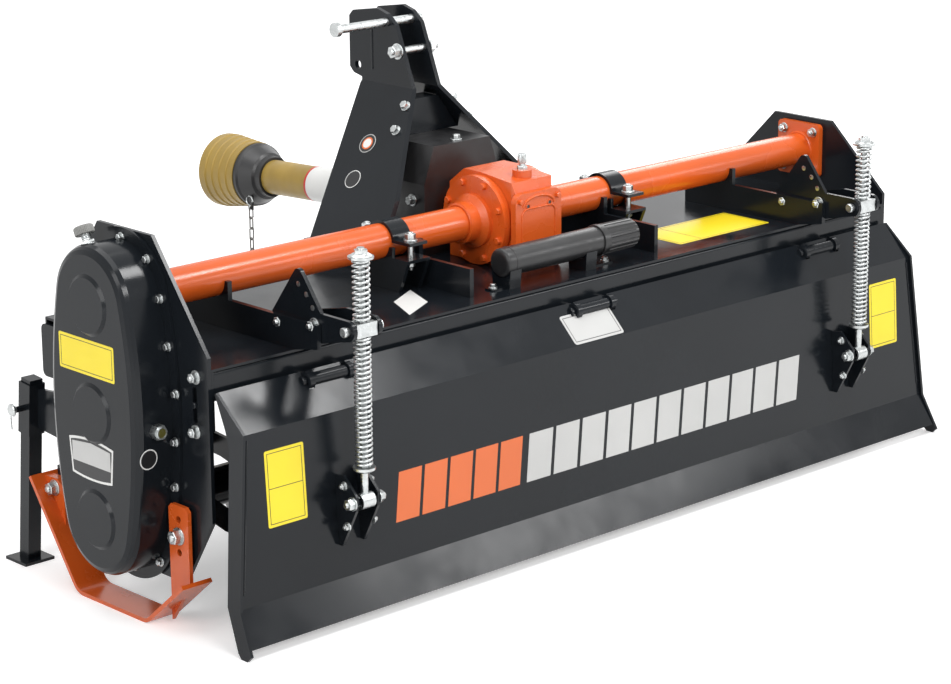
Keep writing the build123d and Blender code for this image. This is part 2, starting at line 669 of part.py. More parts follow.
# ---------------------------------------------------------------- skids
SKID_W = 68
SKID_OUT = 49             # how far a skid stands out past its side plate
SKID_HEEL_Y = -92
SKID_BEND_R = 40
SKID_TAIL = (-205, 96)
STRAP_REAR_Y = -181
STRAP_FRONT_Y = -124
STRAP_TOP_Z = 237
STRAP_CORNER = 8
STRAP_HOLE_R = 7
STRAP_HOLE_Z = (146, 178, 210)
GRIP_T = 18               # bolted lug on the front arm, with its spacer
GRIP_LOW = 110
for side, sign, pad in (("left", -1, CASE_FLANGE_T + SEAT), ("right", 1, 0)):
    with BuildPart() as skid:
        with BuildSketch(across(min(sign * (SIDE_X + SKID_OUT), sign * (SIDE_X + SKID_OUT - SKID_W)))):
            with BuildLine() as under:
                FilletPolyline(
                    SKID_FRONT,
                    (SKID_TOE_Y, SKID_LOW),
                    (SKID_HEEL_Y, SKID_LOW),
                    SKID_TAIL,
                    radius=SKID_BEND_R,
                )
                offset(amount=SKID_T, side=Side.RIGHT)
            make_face()
        extrude(amount=SKID_W)
        with BuildSketch(across(sign * (SIDE_X + SEAT))):
            with BuildLine():
                Polyline(
                    (arm_rear_y(SKID_FRONT[1]) + 1, SKID_FRONT[1]),
                    (SIDE_FRONT_Y, SKID_FRONT[1] + 2),
                    (SIDE_FRONT_Y - 20, SKID_FRONT[1] - 12),
                    (arm_rear_y(GRIP_LOW) + 1, GRIP_LOW),
                    close=True,
                )
            make_face()
        extrude(amount=sign * GRIP_T)
        with BuildSketch(across(sign * (SIDE_X + pad + SEAT))):
            with BuildLine():
                Polyline(
                    (STRAP_FRONT_Y, SKID_LOW + SKID_T),
                    (STRAP_FRONT_Y, STRAP_TOP_Z - STRAP_CORNER),
                    (STRAP_FRONT_Y - STRAP_CORNER, STRAP_TOP_Z),
                    (STRAP_REAR_Y + STRAP_CORNER, STRAP_TOP_Z),
                    (STRAP_REAR_Y, STRAP_TOP_Z - STRAP_CORNER),
                    (STRAP_REAR_Y, SKID_TAIL[1] - 6),
                    close=True,
                )
            make_face()
            with Locations([((STRAP_FRONT_Y + STRAP_REAR_Y) / 2, hole_z) for hole_z in STRAP_HOLE_Z]):
                RegularPolygon(STRAP_HOLE_R, HOLE_SIDES, mode=Mode.SUBTRACT)
        extrude(amount=sign * SKID_T)
    keep(skid.part, f"skid_{side}")

# ---------------------------------------------------------------- parking stand
STAND_LEAN = math.radians(5.5)
STAND_X = -SIDE_X - 2
STAND_FOOT_Y = HOOD_FRONT_Y + 76
SLEEVE = 36
SLEEVE_WALL = 3
SLEEVE_LOW = 268
SLEEVE_HIGH = 372
LEG = SLEEVE - 2 * SLEEVE_WALL - 2 * SEAT
STAND_PIN_R = 6
STAND_PIN_OUT = 22
STAND_PIN_AT = SLEEVE_HIGH - 50
FOOT_SIZE = 68
FOOT_T = 6
stand_up = (0, -math.sin(STAND_LEAN), math.cos(STAND_LEAN))


def stand_plane(along):
    """A plane square to the leaning stand, at a distance up it from the ground."""
    return Plane(
        origin=(STAND_X, STAND_FOOT_Y + stand_up[1] * along, stand_up[2] * along),
        x_dir=(1, 0, 0),
        z_dir=stand_up,
    )


with BuildPart() as stand_sleeve:
    with BuildSketch(stand_plane(SLEEVE_LOW)):
        Rectangle(SLEEVE, SLEEVE)
    extrude(amount=SLEEVE_HIGH - SLEEVE_LOW)
    with BuildSketch(across(-SIDE_X)):
        with BuildLine():
            Polyline(
                (SIDE_FRONT_Y + SEAT, SLEEVE_LOW + 4),
                (STAND_FOOT_Y - SLEEVE, SLEEVE_LOW + 12),
                (STAND_FOOT_Y - SLEEVE - 10, SLEEVE_HIGH - 14),
                (SIDE_FRONT_Y + SEAT, SLEEVE_HIGH - 6),
                close=True,
            )
        make_face()
    extrude(amount=SIDE_T)
    with BuildSketch(across(STAND_X - SLEEVE / 2 - STAND_PIN_OUT)):
        with Locations(tuple(stand_plane(STAND_PIN_AT).origin)[1:]):
            Circle(STAND_PIN_R)
    extrude(amount=STAND_PIN_OUT + SLEEVE / 2)
    with BuildSketch(stand_plane(SLEEVE_LOW)):
        Rectangle(SLEEVE - 2 * SLEEVE_WALL, SLEEVE - 2 * SLEEVE_WALL)
    extrude(amount=SLEEVE_HIGH - SLEEVE_LOW, mode=Mode.SUBTRACT)
keep(stand_sleeve.part, "stand_sleeve")

with BuildPart() as stand_leg:
    with BuildSketch(stand_plane(-LEG)):
        Rectangle(LEG, LEG)
    extrude(amount=SLEEVE_HIGH + LEG + 8)
    with BuildSketch(Plane.XY.offset(-2 * LEG)):
        with Locations((STAND_X, STAND_FOOT_Y)):
            Rectangle(3 * LEG, 3 * LEG)
    extrude(amount=2 * LEG, mode=Mode.SUBTRACT)
    with BuildSketch(Plane.XY):
        with Locations((STAND_X, STAND_FOOT_Y)):
            Rectangle(FOOT_SIZE, FOOT_SIZE)
    extrude(amount=FOOT_T)
keep(stand_leg.part, "stand_leg")

# ---------------------------------------------------------------- rotor
SHAFT_R = 38
ROTOR_END = SIDE_X - SIDE_T - 12
DISC_R = 82
DISC_T = 8
DISC_COUNT = 9
DISC_SIDES = 18           # three flats to each tine
DISC_END_GAP = 74
DISC_PITCH = (2 * ROTOR_END - 2 * DISC_END_GAP) / (DISC_COUNT - 1)
ROTOR_TWIST = 17          # turn from one disc to the next
TINE_COUNT = 6
TINE_R = 182              # radius swept by the blades
TINE_T = 8
TINE_W = 42
TINE_BEND_R = 36
TINE_ROOT_R = SHAFT_R + 6
BLADE_REACH = 66          # how far a blade bends aside from its shank


def disc_place(index):
    """Position of a tine disc along the rotor."""
    return -ROTOR_END + DISC_END_GAP + index * DISC_PITCH


with BuildPart() as rotor_shaft:
    for start, radius in ((ROTOR_END, SHAFT_R), (SIDE_X + JOURNAL_LEN, JOURNAL_R)):
        with BuildSketch(across(-start)):
            with Locations((0, ROTOR_Z)):
                Circle(radius)
        extrude(amount=2 * start)
    for index in range(DISC_COUNT):
        with BuildSketch(across(disc_place(index) - DISC_T / 2)):
            with Locations((0, ROTOR_Z)):
                RegularPolygon(DISC_R, DISC_SIDES, rotation=index * ROTOR_TWIST)
        extrude(amount=DISC_T)
keep(rotor_shaft.part, "rotor_shaft")

# One tine: a strip that runs out along +X of its own frame and bends aside towards +Z,
# trimmed to a blade that trails behind its cutting edge. The bend is made of short flats.
bend_start = TINE_R - TINE_BEND_R
BEND_CUT = 0.29           # share of the bend's radius that a flat leaves at each end
INNER_BEND = TINE_BEND_R - TINE_T
with BuildPart() as tine:
    with BuildSketch(Plane.XZ.offset(-2 * TINE_W)):
        with BuildLine():
            Polyline(
                (TINE_ROOT_R, 0),
                (bend_start, 0),
                (TINE_R - BEND_CUT * TINE_BEND_R, BEND_CUT * TINE_BEND_R),
                (TINE_R, TINE_BEND_R),
                (TINE_R, BLADE_REACH),
                (TINE_R - TINE_T, BLADE_REACH),
                (TINE_R - TINE_T, TINE_BEND_R),
                (TINE_R - TINE_T - BEND_CUT * INNER_BEND, TINE_T + BEND_CUT * INNER_BEND),
                (bend_start, TINE_T),
                (TINE_ROOT_R, TINE_T),
                close=True,
            )
        make_face()
    extrude(amount=4 * TINE_W)
    with BuildSketch(Plane.XY):
        with BuildLine():
            Polyline(
                (TINE_ROOT_R, -TINE_W / 2),
                (DISC_R + 20, -TINE_W / 2),
                (TINE_R + 1, -TINE_W * 0.1),
                (TINE_R + 1, TINE_W * 0.95),
                (DISC_R + 30, TINE_W / 2 + 4),
                (TINE_ROOT_R, TINE_W / 2),
                close=True,
            )
        make_face()
    extrude(amount=BLADE_REACH, mode=Mode.INTERSECT)

tine_places = []
for index in range(DISC_COUNT):
    for arm in range(TINE_COUNT):
        hand = 1 if arm % 2 else -1
        if (index == 0 and hand < 0) or (index == DISC_COUNT - 1 and hand > 0):
            continue
        turn = math.radians(arm * 360 / TINE_COUNT + ROTOR_TWIST * index)
        tine_places.append(
            Plane(
                origin=(disc_place(index) + hand * (DISC_T / 2 + SEAT), 0, ROTOR_Z),
                x_dir=(0, math.cos(turn), math.sin(turn)),
                z_dir=(hand, 0, 0),
            )
        )
with BuildPart() as tines:
    add([plane.location * tine.part for plane in tine_places])
keep(tines.part, "tines")

HUB_FLANGE_R = 62
HUB_FLANGE_T = 14
HUB_CAP_R = 38
HUB_CAP_LEN = 38
HUB_CAP_EDGE = 5
with BuildPart() as rotor_hub:
    with BuildSketch(across(SIDE_X + SEAT)):
        with Locations((0, ROTOR_Z)):
            Circle(HUB_FLANGE_R)
    extrude(amount=HUB_FLANGE_T)
    with BuildSketch(across(SIDE_X + SEAT)):
        with Locations((0, ROTOR_Z)):
            Circle(HUB_CAP_R)
    extrude(amount=HUB_CAP_LEN)
    chamfer(rotor_hub.edges().sort_by(Axis.X)[-1], HUB_CAP_EDGE)
    with BuildSketch(across(SIDE_X)):
        with Locations((0, ROTOR_Z)):
            Circle(JOURNAL_R + FIT)
    extrude(amount=JOURNAL_LEN + SEAT, mode=Mode.SUBTRACT)
keep(rotor_hub.part, "rotor_hub")

# ---------------------------------------------------------------- tailboard
HINGE_BACK = 27           # hinge axis behind the hood and below its deck
HINGE_DROP = 54
HINGE_Y = HOOD_REAR_Y - HINGE_BACK
HINGE_Z = DECK_Z - HINGE_DROP
BARREL_R = 12
BARREL_BORE = 7
BARREL_HALF = 40
LUG_T = 10
LUG_PLAY = 4              # width that the board's notches leave beside a lug
HINGE_OUT = 690           # outer hinges, from the middle
TAIL_T = 5
BEND_TOP_BACK = 53        # how far the upper bend stands behind the hinge axis
BEND_TOP_DROP = 52        # and below it
MID_SLANT = 20            # how far the middle panel runs back
BEND_LOW_Z = 85
TIP_SLANT = 37
BEND_TOP_Y = HINGE_Y - BEND_TOP_BACK
BEND_TOP_Z = HINGE_Z - BEND_TOP_DROP
BEND_LOW_Y = BEND_TOP_Y - MID_SLANT
TIP_Y = BEND_LOW_Y - TIP_SLANT
TIP_Z = 20                # lower edge, over the feet of the end plates
TOP_HALF = 938            # half width down to the upper bend
TIP_HALF = 980            # half width at the ground
TAIL_UP = 20              # how far the board reaches past its hinge axis
END_T = 6
END_PROUD = 7             # how far the end plates stand behind the board
END_DEEP = 30             # and in front of it
END_TOE = 10              # chamfers of their feet
upper_len = math.hypot(HINGE_Y - BEND_TOP_Y, HINGE_Z - BEND_TOP_Z)
up_y = (HINGE_Y - BEND_TOP_Y) / upper_len
up_z = (HINGE_Z - BEND_TOP_Z) / upper_len
WIDEST = max(TOP_HALF, TIP_HALF)


def ends_outline(inset):
    """Front view of the board, inset from its tapered ends."""
    Polyline(
        (-TIP_HALF + inset, 0),
        (-TOP_HALF + inset, BEND_TOP_Z),
        (-TOP_HALF + inset, DECK_Z),
        (TOP_HALF - inset, DECK_Z),
        (TOP_HALF - inset, BEND_TOP_Z),
        (TIP_HALF - inset, 0),
        close=True,
    )


with BuildPart() as tailboard:
    with BuildSketch(across(-WIDEST)):
        with BuildLine():
            Polyline(
                (HINGE_Y + up_y * TAIL_UP, HINGE_Z + up_z * TAIL_UP),
                (BEND_TOP_Y, BEND_TOP_Z),
                (BEND_LOW_Y, BEND_LOW_Z),
                (TIP_Y, TIP_Z),
                (TIP_Y + TAIL_T * 1.13, TIP_Z),
                (BEND_LOW_Y + TAIL_T, BEND_LOW_Z + 1),
                (BEND_TOP_Y + TAIL_T, BEND_TOP_Z - 2),
                (HINGE_Y + up_y * TAIL_UP + up_z * TAIL_T, HINGE_Z + up_z * TAIL_UP - up_y * TAIL_T),
                close=True,
            )
        make_face()
    extrude(amount=2 * WIDEST)
    with BuildSketch(facing(HOOD_REAR_Y)):
        with BuildLine():
            ends_outline(END_T + SEAT)
        make_face()
    extrude(amount=HOOD_REAR_Y - TIP_Y + 1, mode=Mode.INTERSECT)
    for hinge_x in (-HINGE_OUT, 0, HINGE_OUT):
        with BuildSketch(across(hinge_x - BARREL_HALF)):
            with Locations((HINGE_Y, HINGE_Z)):
                Circle(BARREL_R)
        extrude(amount=2 * BARREL_HALF)
        with BuildSketch(across(hinge_x - BARREL_HALF)):
            with Locations((HINGE_Y, HINGE_Z)):
                Circle(BARREL_BORE)
        extrude(amount=2 * BARREL_HALF, mode=Mode.SUBTRACT)
        for sign in (-1, 1):
            with BuildSketch(across(hinge_x + sign * BARREL_HALF)):
                with Locations((HINGE_Y, HINGE_Z)):
                    Circle(BARREL_R + RUN)
                with Locations((HINGE_Y, HINGE_Z + TAIL_UP)):
                    Rectangle(2 * TAIL_UP + 2 * RUN, 2 * TAIL_UP)
            extrude(amount=sign * (LUG_T + LUG_PLAY), mode=Mode.SUBTRACT)
keep(tailboard.part, "tailboard")

with BuildPart() as tail_ends:
    with BuildSketch(across(-WIDEST)):
        with BuildLine():
            Polyline(
                (HINGE_Y + up_y * TAIL_UP, HINGE_Z + up_z * TAIL_UP),
                (BEND_TOP_Y - END_PROUD, BEND_TOP_Z + 3),
                (BEND_LOW_Y - END_PROUD, BEND_LOW_Z - 2),
                (TIP_Y - END_PROUD, END_TOE),
                (TIP_Y - END_PROUD + END_TOE, 0),
                (TIP_Y + END_DEEP - END_TOE, 0),
                (TIP_Y + END_DEEP, END_TOE),
                (BEND_LOW_Y + END_DEEP, BEND_LOW_Z),
                (BEND_TOP_Y + END_DEEP, BEND_TOP_Z - END_DEEP),
                (HINGE_Y + up_y * TAIL_UP + up_z * TAIL_T, HINGE_Z + up_z * TAIL_UP - up_y * TAIL_T),
                close=True,
            )
        make_face()
    extrude(amount=2 * WIDEST)
    with BuildSketch(facing(HOOD_REAR_Y)):
        with BuildLine():
            ends_outline(0)
        make_face()
        with BuildLine():
            ends_outline(END_T)
        make_face(mode=Mode.SUBTRACT)
    extrude(amount=HOOD_REAR_Y - TIP_Y + 2 * END_PROUD, mode=Mode.INTERSECT)
keep(tail_ends.part, "tail_ends")

LUG_R = BARREL_R - 1
with BuildPart() as hinge_lugs:
    for hinge_x in (-HINGE_OUT, 0, HINGE_OUT):
        for sign in (-1, 1):
            with BuildSketch(across(hinge_x + sign * (BARREL_HALF + 1))):
                with Locations((HINGE_Y, HINGE_Z)):
                    Circle(LUG_R)
                with Locations(((HINGE_Y + HOOD_REAR_Y - SEAT) / 2, HINGE_Z)):
                    Rectangle(HOOD_REAR_Y - SEAT - HINGE_Y, 2 * LUG_R)
            extrude(amount=sign * LUG_T)
        with BuildSketch(across(hinge_x - BARREL_HALF - LUG_T)):
            with Locations((HINGE_Y, HINGE_Z)):
                Circle(BARREL_BORE - FIT)
        extrude(amount=2 * BARREL_HALF + 2 * LUG_T)
keep(hinge_lugs.part, "hinge_lugs")

# ---------------------------------------------------------------- spring rods and their arms
ROD_BACK = 137            # spring rods behind the hood
TRUN_UP = 58              # trunnions over the deck
ROD_Y = HOOD_REAR_Y - ROD_BACK
TRUN_Z = DECK_Z + TRUN_UP
TRUN_H = 26
TRUN_DEPTH = 30
TRUN_PIN_R = 8
EYE_Z = 239
EYE_R = 15
EYE_BORE = 10.5
EYE_HALF = 15
EYE_PIN_R = 6
ROD_R = 7
ROD_TOP = 714
SPRING_R = 17
WIRE_R = 2.6
LOW_WASHER_Z = 300
TOP_WASHER_Z = 694
WASHER_T = 4
ROD_NUT_R = 13
ROD_NUT_H = 12
ARM_DX = 30
ARM_T = 8
ARM_R = 19
GUSSET_TOP = (-236, DECK_Z + 158)  # before its corner is rounded
GUSSET_R = 12
ARM_KNEE_Y = -298
ARM_FRONT_Y = -150
ARM_FRONT_H = 38
ARM_FOOT_T = 6
arm_foot_z = DECK_TOP + ARM_FOOT_T
with BuildPart() as rod_arms:
    for sign in (-1, 1):
        for arm_x, gusset in ((-ARM_DX, True), (ARM_DX, False)):
            with BuildSketch(across(sign * ROD_X + arm_x - ARM_T / 2)) as arm_sketch:
                if gusset:
                    with BuildLine():
                        Polyline(
                            (ARM_FRONT_Y, arm_foot_z),
                            (ARM_FRONT_Y, arm_foot_z + ARM_FRONT_H),
                            GUSSET_TOP,
                            (ARM_KNEE_Y, TRUN_Z + ARM_R),
                            (HOOD_REAR_Y, arm_foot_z),
                            close=True,
                        )
                    make_face()
                    fillet(arm_sketch.vertices().sort_by(Axis.Y)[-1], GUSSET_R)
                with BuildLine():
                    Polyline(
                        (HOOD_REAR_Y, arm_foot_z),
                        (ARM_FRONT_Y, arm_foot_z),
                        (ARM_FRONT_Y, arm_foot_z + ARM_FRONT_H),
                        (ARM_KNEE_Y, TRUN_Z + ARM_R),
                        (ROD_Y, TRUN_Z + ARM_R),
                        (ROD_Y, TRUN_Z - ARM_R),
                        close=True,
                    )
                make_face()
                with Locations((ROD_Y, TRUN_Z)):
                    Circle(ARM_R)
                    Circle(TRUN_PIN_R + FIT, mode=Mode.SUBTRACT)
            extrude(amount=ARM_T)
        with BuildSketch(Plane.XY.offset(DECK_TOP)):
            with Locations((sign * ROD_X, (HOOD_REAR_Y + ARM_FRONT_Y) / 2)):
                Rectangle(2 * ARM_DX + ARM_T, ARM_FRONT_Y - HOOD_REAR_Y)
        extrude(amount=ARM_FOOT_T)
keep(rod_arms.part, "rod_arms")


def tail_back(z):
    """How far back the tailboard's middle panel stands at height z, with a seating gap."""
    share = (z - BEND_LOW_Z) / (BEND_TOP_Z - BEND_LOW_Z)
    return BEND_LOW_Y + share * (BEND_TOP_Y - BEND_LOW_Y) - SEAT


for side, sign in (("left", -1), ("right", 1)):
    rod_x = sign * ROD_X
    with BuildPart() as trunnion:
        with BuildSketch(Plane.XY.offset(TRUN_Z - TRUN_H / 2)):
            with Locations((rod_x, ROD_Y)):
                Rectangle(2 * ARM_DX - ARM_T - 4, TRUN_DEPTH)
                Circle(ROD_R + SEAT, mode=Mode.SUBTRACT)
        extrude(amount=TRUN_H)
        for way in (-1, 1):
            with BuildSketch(across(rod_x + way * (ARM_DX - ARM_T / 2 - 2))):
                with Locations((ROD_Y, TRUN_Z)):
                    Circle(TRUN_PIN_R)
            extrude(amount=way * (ARM_T + 8))
    keep(trunnion.part, f"trunnion_{side}")

    with BuildPart() as rod:
        for start, end, radius in (
            (EYE_Z + EYE_R - 2, ROD_TOP, ROD_R),
            (LOW_WASHER_Z, LOW_WASHER_Z + WASHER_T, 21),
            (TOP_WASHER_Z, TOP_WASHER_Z + WASHER_T, 24),
        ):
            with BuildSketch(Plane.XY.offset(start)):
                with Locations((rod_x, ROD_Y)):
                    Circle(radius)
            extrude(amount=end - start)
        with BuildSketch(Plane.XY.offset(TOP_WASHER_Z + WASHER_T)):
            with Locations((rod_x, ROD_Y)):
                RegularPolygon(ROD_NUT_R, 6)
        extrude(amount=ROD_NUT_H)
        with BuildSketch(across(rod_x - EYE_HALF)):
            with Locations((ROD_Y, EYE_Z)):
                Circle(EYE_R)
        extrude(amount=2 * EYE_HALF)
        with BuildSketch(across(rod_x - EYE_HALF)):
            with Locations((ROD_Y, EYE_Z)):
                Circle(EYE_BORE)
        extrude(amount=2 * EYE_HALF, mode=Mode.SUBTRACT)
    keep(rod.part, f"rod_{side}")

    for where, low, high in (
        ("lower", LOW_WASHER_Z + WASHER_T + SEAT, TRUN_Z - TRUN_H / 2 - SEAT),
        ("upper", TRUN_Z + TRUN_H / 2 + SEAT, TOP_WASHER_Z - SEAT),
    ):
        with BuildPart() as spring:
            with BuildSketch(Plane.XY.offset(low)):
                with Locations((rod_x, ROD_Y)):
                    Circle(SPRING_R)
                    Circle(SPRING_R - 2 * WIRE_R, mode=Mode.SUBTRACT)
            extrude(amount=high - low)
        keep(spring.part, f"spring_{where}_{side}")

CLEVIS_DX = 26
CLEVIS_T = 6
CLEVIS_TOP = 283
CLEVIS_LOW = 150
with BuildPart() as rod_clevises:
    for sign in (-1, 1):
        for way in (-1, 1):
            with BuildSketch(across(sign * ROD_X + way * CLEVIS_DX - CLEVIS_T / 2)):
                with BuildLine():
                    Polyline(
                        (tail_back(CLEVIS_TOP), CLEVIS_TOP),
                        (ROD_Y + 26, CLEVIS_TOP + 4),
                        (ROD_Y - 10, EYE_Z + 14),
                        (ROD_Y - 8, EYE_Z - 14),
                        (tail_back(CLEVIS_LOW) - 10, CLEVIS_LOW),
                        (tail_back(CLEVIS_LOW), CLEVIS_LOW),
                        close=True,
                    )
                make_face()
            extrude(amount=CLEVIS_T)
        with BuildSketch(across(sign * ROD_X - CLEVIS_DX)):
            with Locations((ROD_Y, EYE_Z)):
                Circle(EYE_PIN_R)
        extrude(amount=2 * CLEVIS_DX)
keep(rod_clevises.part, "rod_clevises")

# ---------------------------------------------------------------- drive shaft, guard and chain
PTO_DROOP = math.radians(2.9)
GUARD_R = 38
GUARD_T = 3
GUARD_START = 150
COLLAR_START = 730
COLLAR_END = 792
COLLAR_RIM = 14           # length of the collar's ring on the tube
BELL_BACK_R = 72
COLLAR_R = BELL_BACK_R - 2
BELL_R = 82
BELL_END = 898
BELL_STEPS = 5            # circumferential folds of the bell
YOKE_R = 30
SHAFT_BAR_R = 19
SHAFT_END = BELL_END - 30
pto_dir = (0, math.cos(PTO_DROOP), -math.sin(PTO_DROOP))
pto_axis = Axis((0, 0, TUBE_Z), pto_dir)
pto_profile = Plane(origin=(0, 0, TUBE_Z), x_dir=pto_dir, z_dir=(1, 0, 0))


def pto_plane(along):
    """A plane square to the drive shaft, at a distance along it from the gearbox's centre."""
    return Plane(
        origin=(0, pto_dir[1] * along, TUBE_Z + pto_dir[2] * along),
        x_dir=(1, 0, 0),
        z_dir=pto_dir,
    )


bell_start = COLLAR_END + SEAT


def bell_folds(inset):
    """Points along the bell's wall, which widens in steps, inset from its outer face."""
    step = (BELL_END - bell_start) / BELL_STEPS
    flare = (BELL_R - BELL_BACK_R) / (BELL_STEPS - 1)
    points = [(bell_start + inset, BELL_BACK_R - inset)]
    for index in range(1, BELL_STEPS):
        fold = bell_start + index * step
        radius = BELL_BACK_R + index * flare - inset
        points.extend([(fold - 1, radius - flare), (fold + 1, radius)])
    points.append((BELL_END, BELL_R - inset))
    return points


with BuildPart() as pto_guard:
    with BuildSketch(pto_plane(GUARD_START)):
        Circle(GUARD_R)
        Circle(GUARD_R - GUARD_T, mode=Mode.SUBTRACT)
    extrude(amount=COLLAR_END - GUARD_START - SEAT)
    with BuildSketch(pto_profile):
        with BuildLine():
            Polyline(
                (bell_start, GUARD_R - GUARD_T),
                *bell_folds(0),
                *reversed(bell_folds(GUARD_T)),
                (bell_start + GUARD_T, GUARD_R - GUARD_T),
                close=True,
            )
        make_face()
    revolve(axis=pto_axis)
keep(pto_guard.part, "pto_guard")

CHAIN_ALONG = 764
CHAIN_X = -42             # the chain hangs from the collar's left side
CHAIN_LUG_T = 4
CHAIN_EYE_R = 5
EYE_DROP = 62             # from the drive shaft's axis to the chain's eye
chain_top = pto_plane(CHAIN_ALONG).origin
lug_low = chain_top.Z - EYE_DROP - CHAIN_EYE_R - CHAIN_LUG_T
lug_high = chain_top.Z - GUARD_R / 2
with BuildPart() as guard_collar:
    with BuildSketch(pto_profile):
        with BuildLine():
            Polyline(
                (COLLAR_START, GUARD_R + SEAT),
                (COLLAR_START, GUARD_R + 6),
                (COLLAR_START + COLLAR_RIM, GUARD_R + 8),
                (COLLAR_START + COLLAR_RIM + 4, GUARD_R + 14),
                (COLLAR_END - COLLAR_RIM, COLLAR_R - 4),
                (COLLAR_END - COLLAR_RIM + 4, COLLAR_R),
                (COLLAR_END, COLLAR_R),
                (COLLAR_END, GUARD_R + SEAT),
                close=True,
            )
        make_face()
    revolve(axis=pto_axis)
    with BuildSketch(across(CHAIN_X - CHAIN_LUG_T / 2)):
        with Locations((chain_top.Y, (lug_low + lug_high) / 2)):
            Rectangle(3 * CHAIN_EYE_R, lug_high - lug_low)
        with Locations((chain_top.Y, chain_top.Z - EYE_DROP)):
            RegularPolygon(CHAIN_EYE_R, HOLE_SIDES, mode=Mode.SUBTRACT)
    extrude(amount=CHAIN_LUG_T)
keep(guard_collar.part, "guard_collar")

with BuildPart() as pto_shaft:
    for start, end, radius in (
        (INPUT_Y + 5, GUARD_START + 30, YOKE_R),
        (INPUT_Y + 5, SHAFT_END, SHAFT_BAR_R),
        (COLLAR_END - 40, COLLAR_END - 10, GUARD_R - GUARD_T - SEAT),
        (SHAFT_END - 60, SHAFT_END, YOKE_R),
    ):
        with BuildSketch(pto_plane(start)):
            Circle(radius)
        extrude(amount=end - start)
    with BuildSketch(facing(INPUT_Y + SEAT)):
        with Locations((0, TUBE_Z)):
            Circle(SHAFT_BAR_R)
    extrude(amount=-30)
keep(pto_shaft.part, "pto_shaft")

LINK_COUNT = 6
LINK_PITCH = 24
LINK_WIRE = 1.6
LINK_W = 5                # half width of a link's centre line
LINK_CORNER = 3
link_half = (LINK_PITCH + SEAT) / 2 + LINK_WIRE
with BuildPart() as link:
    with BuildLine(Plane.XZ) as link_path:
        Polyline(
            (0, -link_half),
            (LINK_W - LINK_CORNER, -link_half),
            (LINK_W, LINK_CORNER - link_half),
            (LINK_W, link_half - LINK_CORNER),
            (LINK_W - LINK_CORNER, link_half),
            (LINK_CORNER - LINK_W, link_half),
            (-LINK_W, link_half - LINK_CORNER),
            (-LINK_W, LINK_CORNER - link_half),
            (LINK_CORNER - LINK_W, -link_half),
            (0, -link_half),
        )
    with BuildSketch(Plane(origin=link_path.line @ 0, z_dir=link_path.line % 0)):
        RegularPolygon(LINK_WIRE, 6)
    sweep(transition=Transition.RIGHT)

first_link_z = chain_top.Z - EYE_DROP - CHAIN_EYE_R - LINK_PITCH / 2 + 2 * SEAT
link_places = []
for index in range(LINK_COUNT):
    turn = 90 * (index % 2)
    link_places.append(Location((CHAIN_X, chain_top.Y, first_link_z - index * LINK_PITCH), (0, 0, turn)))
with BuildPart() as guard_chain:
    add([place * link.part for place in link_places])
keep(guard_chain.part, "guard_chain")

# ---------------------------------------------------------------- into the shared frame
os.makedirs("parts", exist_ok=True)
boxes = [piece.bounding_box() for piece in pieces]
mid_x = (min(box.min.X for box in boxes) + max(box.max.X for box in boxes)) / 2
mid_y = (min(box.min.Y for box in boxes) + max(box.max.Y for box in boxes)) / 2
for piece in pieces:
    moved = Location((-mid_x, -mid_y, 0)) * piece
    moved.label = piece.label
    export_step(moved, f"parts/{moved.label}.step")
print("shift", -mid_x, -mid_y, "lowest", min(box.min.Z for box in boxes))
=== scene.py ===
import math

import bmesh
import bpy
from mathutils import Matrix, Vector
from mathutils.bvhtree import BVHTree


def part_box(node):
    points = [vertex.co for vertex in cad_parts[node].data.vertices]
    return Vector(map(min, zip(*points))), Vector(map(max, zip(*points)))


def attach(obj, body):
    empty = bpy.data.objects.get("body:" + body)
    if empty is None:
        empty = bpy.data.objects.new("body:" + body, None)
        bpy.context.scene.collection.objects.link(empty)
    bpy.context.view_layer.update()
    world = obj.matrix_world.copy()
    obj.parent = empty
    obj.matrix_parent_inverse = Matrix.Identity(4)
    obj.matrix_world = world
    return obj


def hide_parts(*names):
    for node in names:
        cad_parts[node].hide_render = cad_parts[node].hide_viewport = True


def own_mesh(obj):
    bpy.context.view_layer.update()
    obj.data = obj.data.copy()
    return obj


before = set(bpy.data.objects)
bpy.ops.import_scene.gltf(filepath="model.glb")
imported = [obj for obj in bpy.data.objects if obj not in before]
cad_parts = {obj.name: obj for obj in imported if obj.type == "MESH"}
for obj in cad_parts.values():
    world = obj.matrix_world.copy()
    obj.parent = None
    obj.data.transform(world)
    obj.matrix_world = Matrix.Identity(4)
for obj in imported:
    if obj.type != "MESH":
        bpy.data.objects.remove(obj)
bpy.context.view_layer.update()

# Metres. +X is to the right seen from behind, +Y forward, +Z up. Places are counted from the
# cross tube's middle across the ground, and from the ground up.
tube_low, tube_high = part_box("cross_tube")
MID = (tube_low + tube_high) / 2
TUBE_Z = MID.z
TUBE_R = (tube_high.z - tube_low.z) / 2
UP = Vector((0, 0, 1))
ALONG = Vector((1, 0, 0))
FORWARD = Vector((0, 1, 0))


def at(x, y, z):
    """The point at x and y from the cross tube's middle, z over the ground."""
    return Vector((MID.x + x, MID.y + y, z))


def off(node, corner):
    """A corner of a CAD node's box, 0 the low one and 1 the high one, counted as at() counts."""
    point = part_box(node)[corner]
    return Vector((point.x - MID.x, point.y - MID.y, point.z))


# ---------------------------------------------------------------- materials
def add_node(tree, kind, inputs, operation=None):
    """A new node of that kind, each input set to a value or linked from another node's output."""
    made = tree.nodes.new(kind)
    if operation:
        made.operation = operation
    for key, value in inputs.items():
        if isinstance(value, bpy.types.NodeSocket):
            tree.links.new(value, made.inputs[key])
        else:
            made.inputs[key].default_value = value
    return made


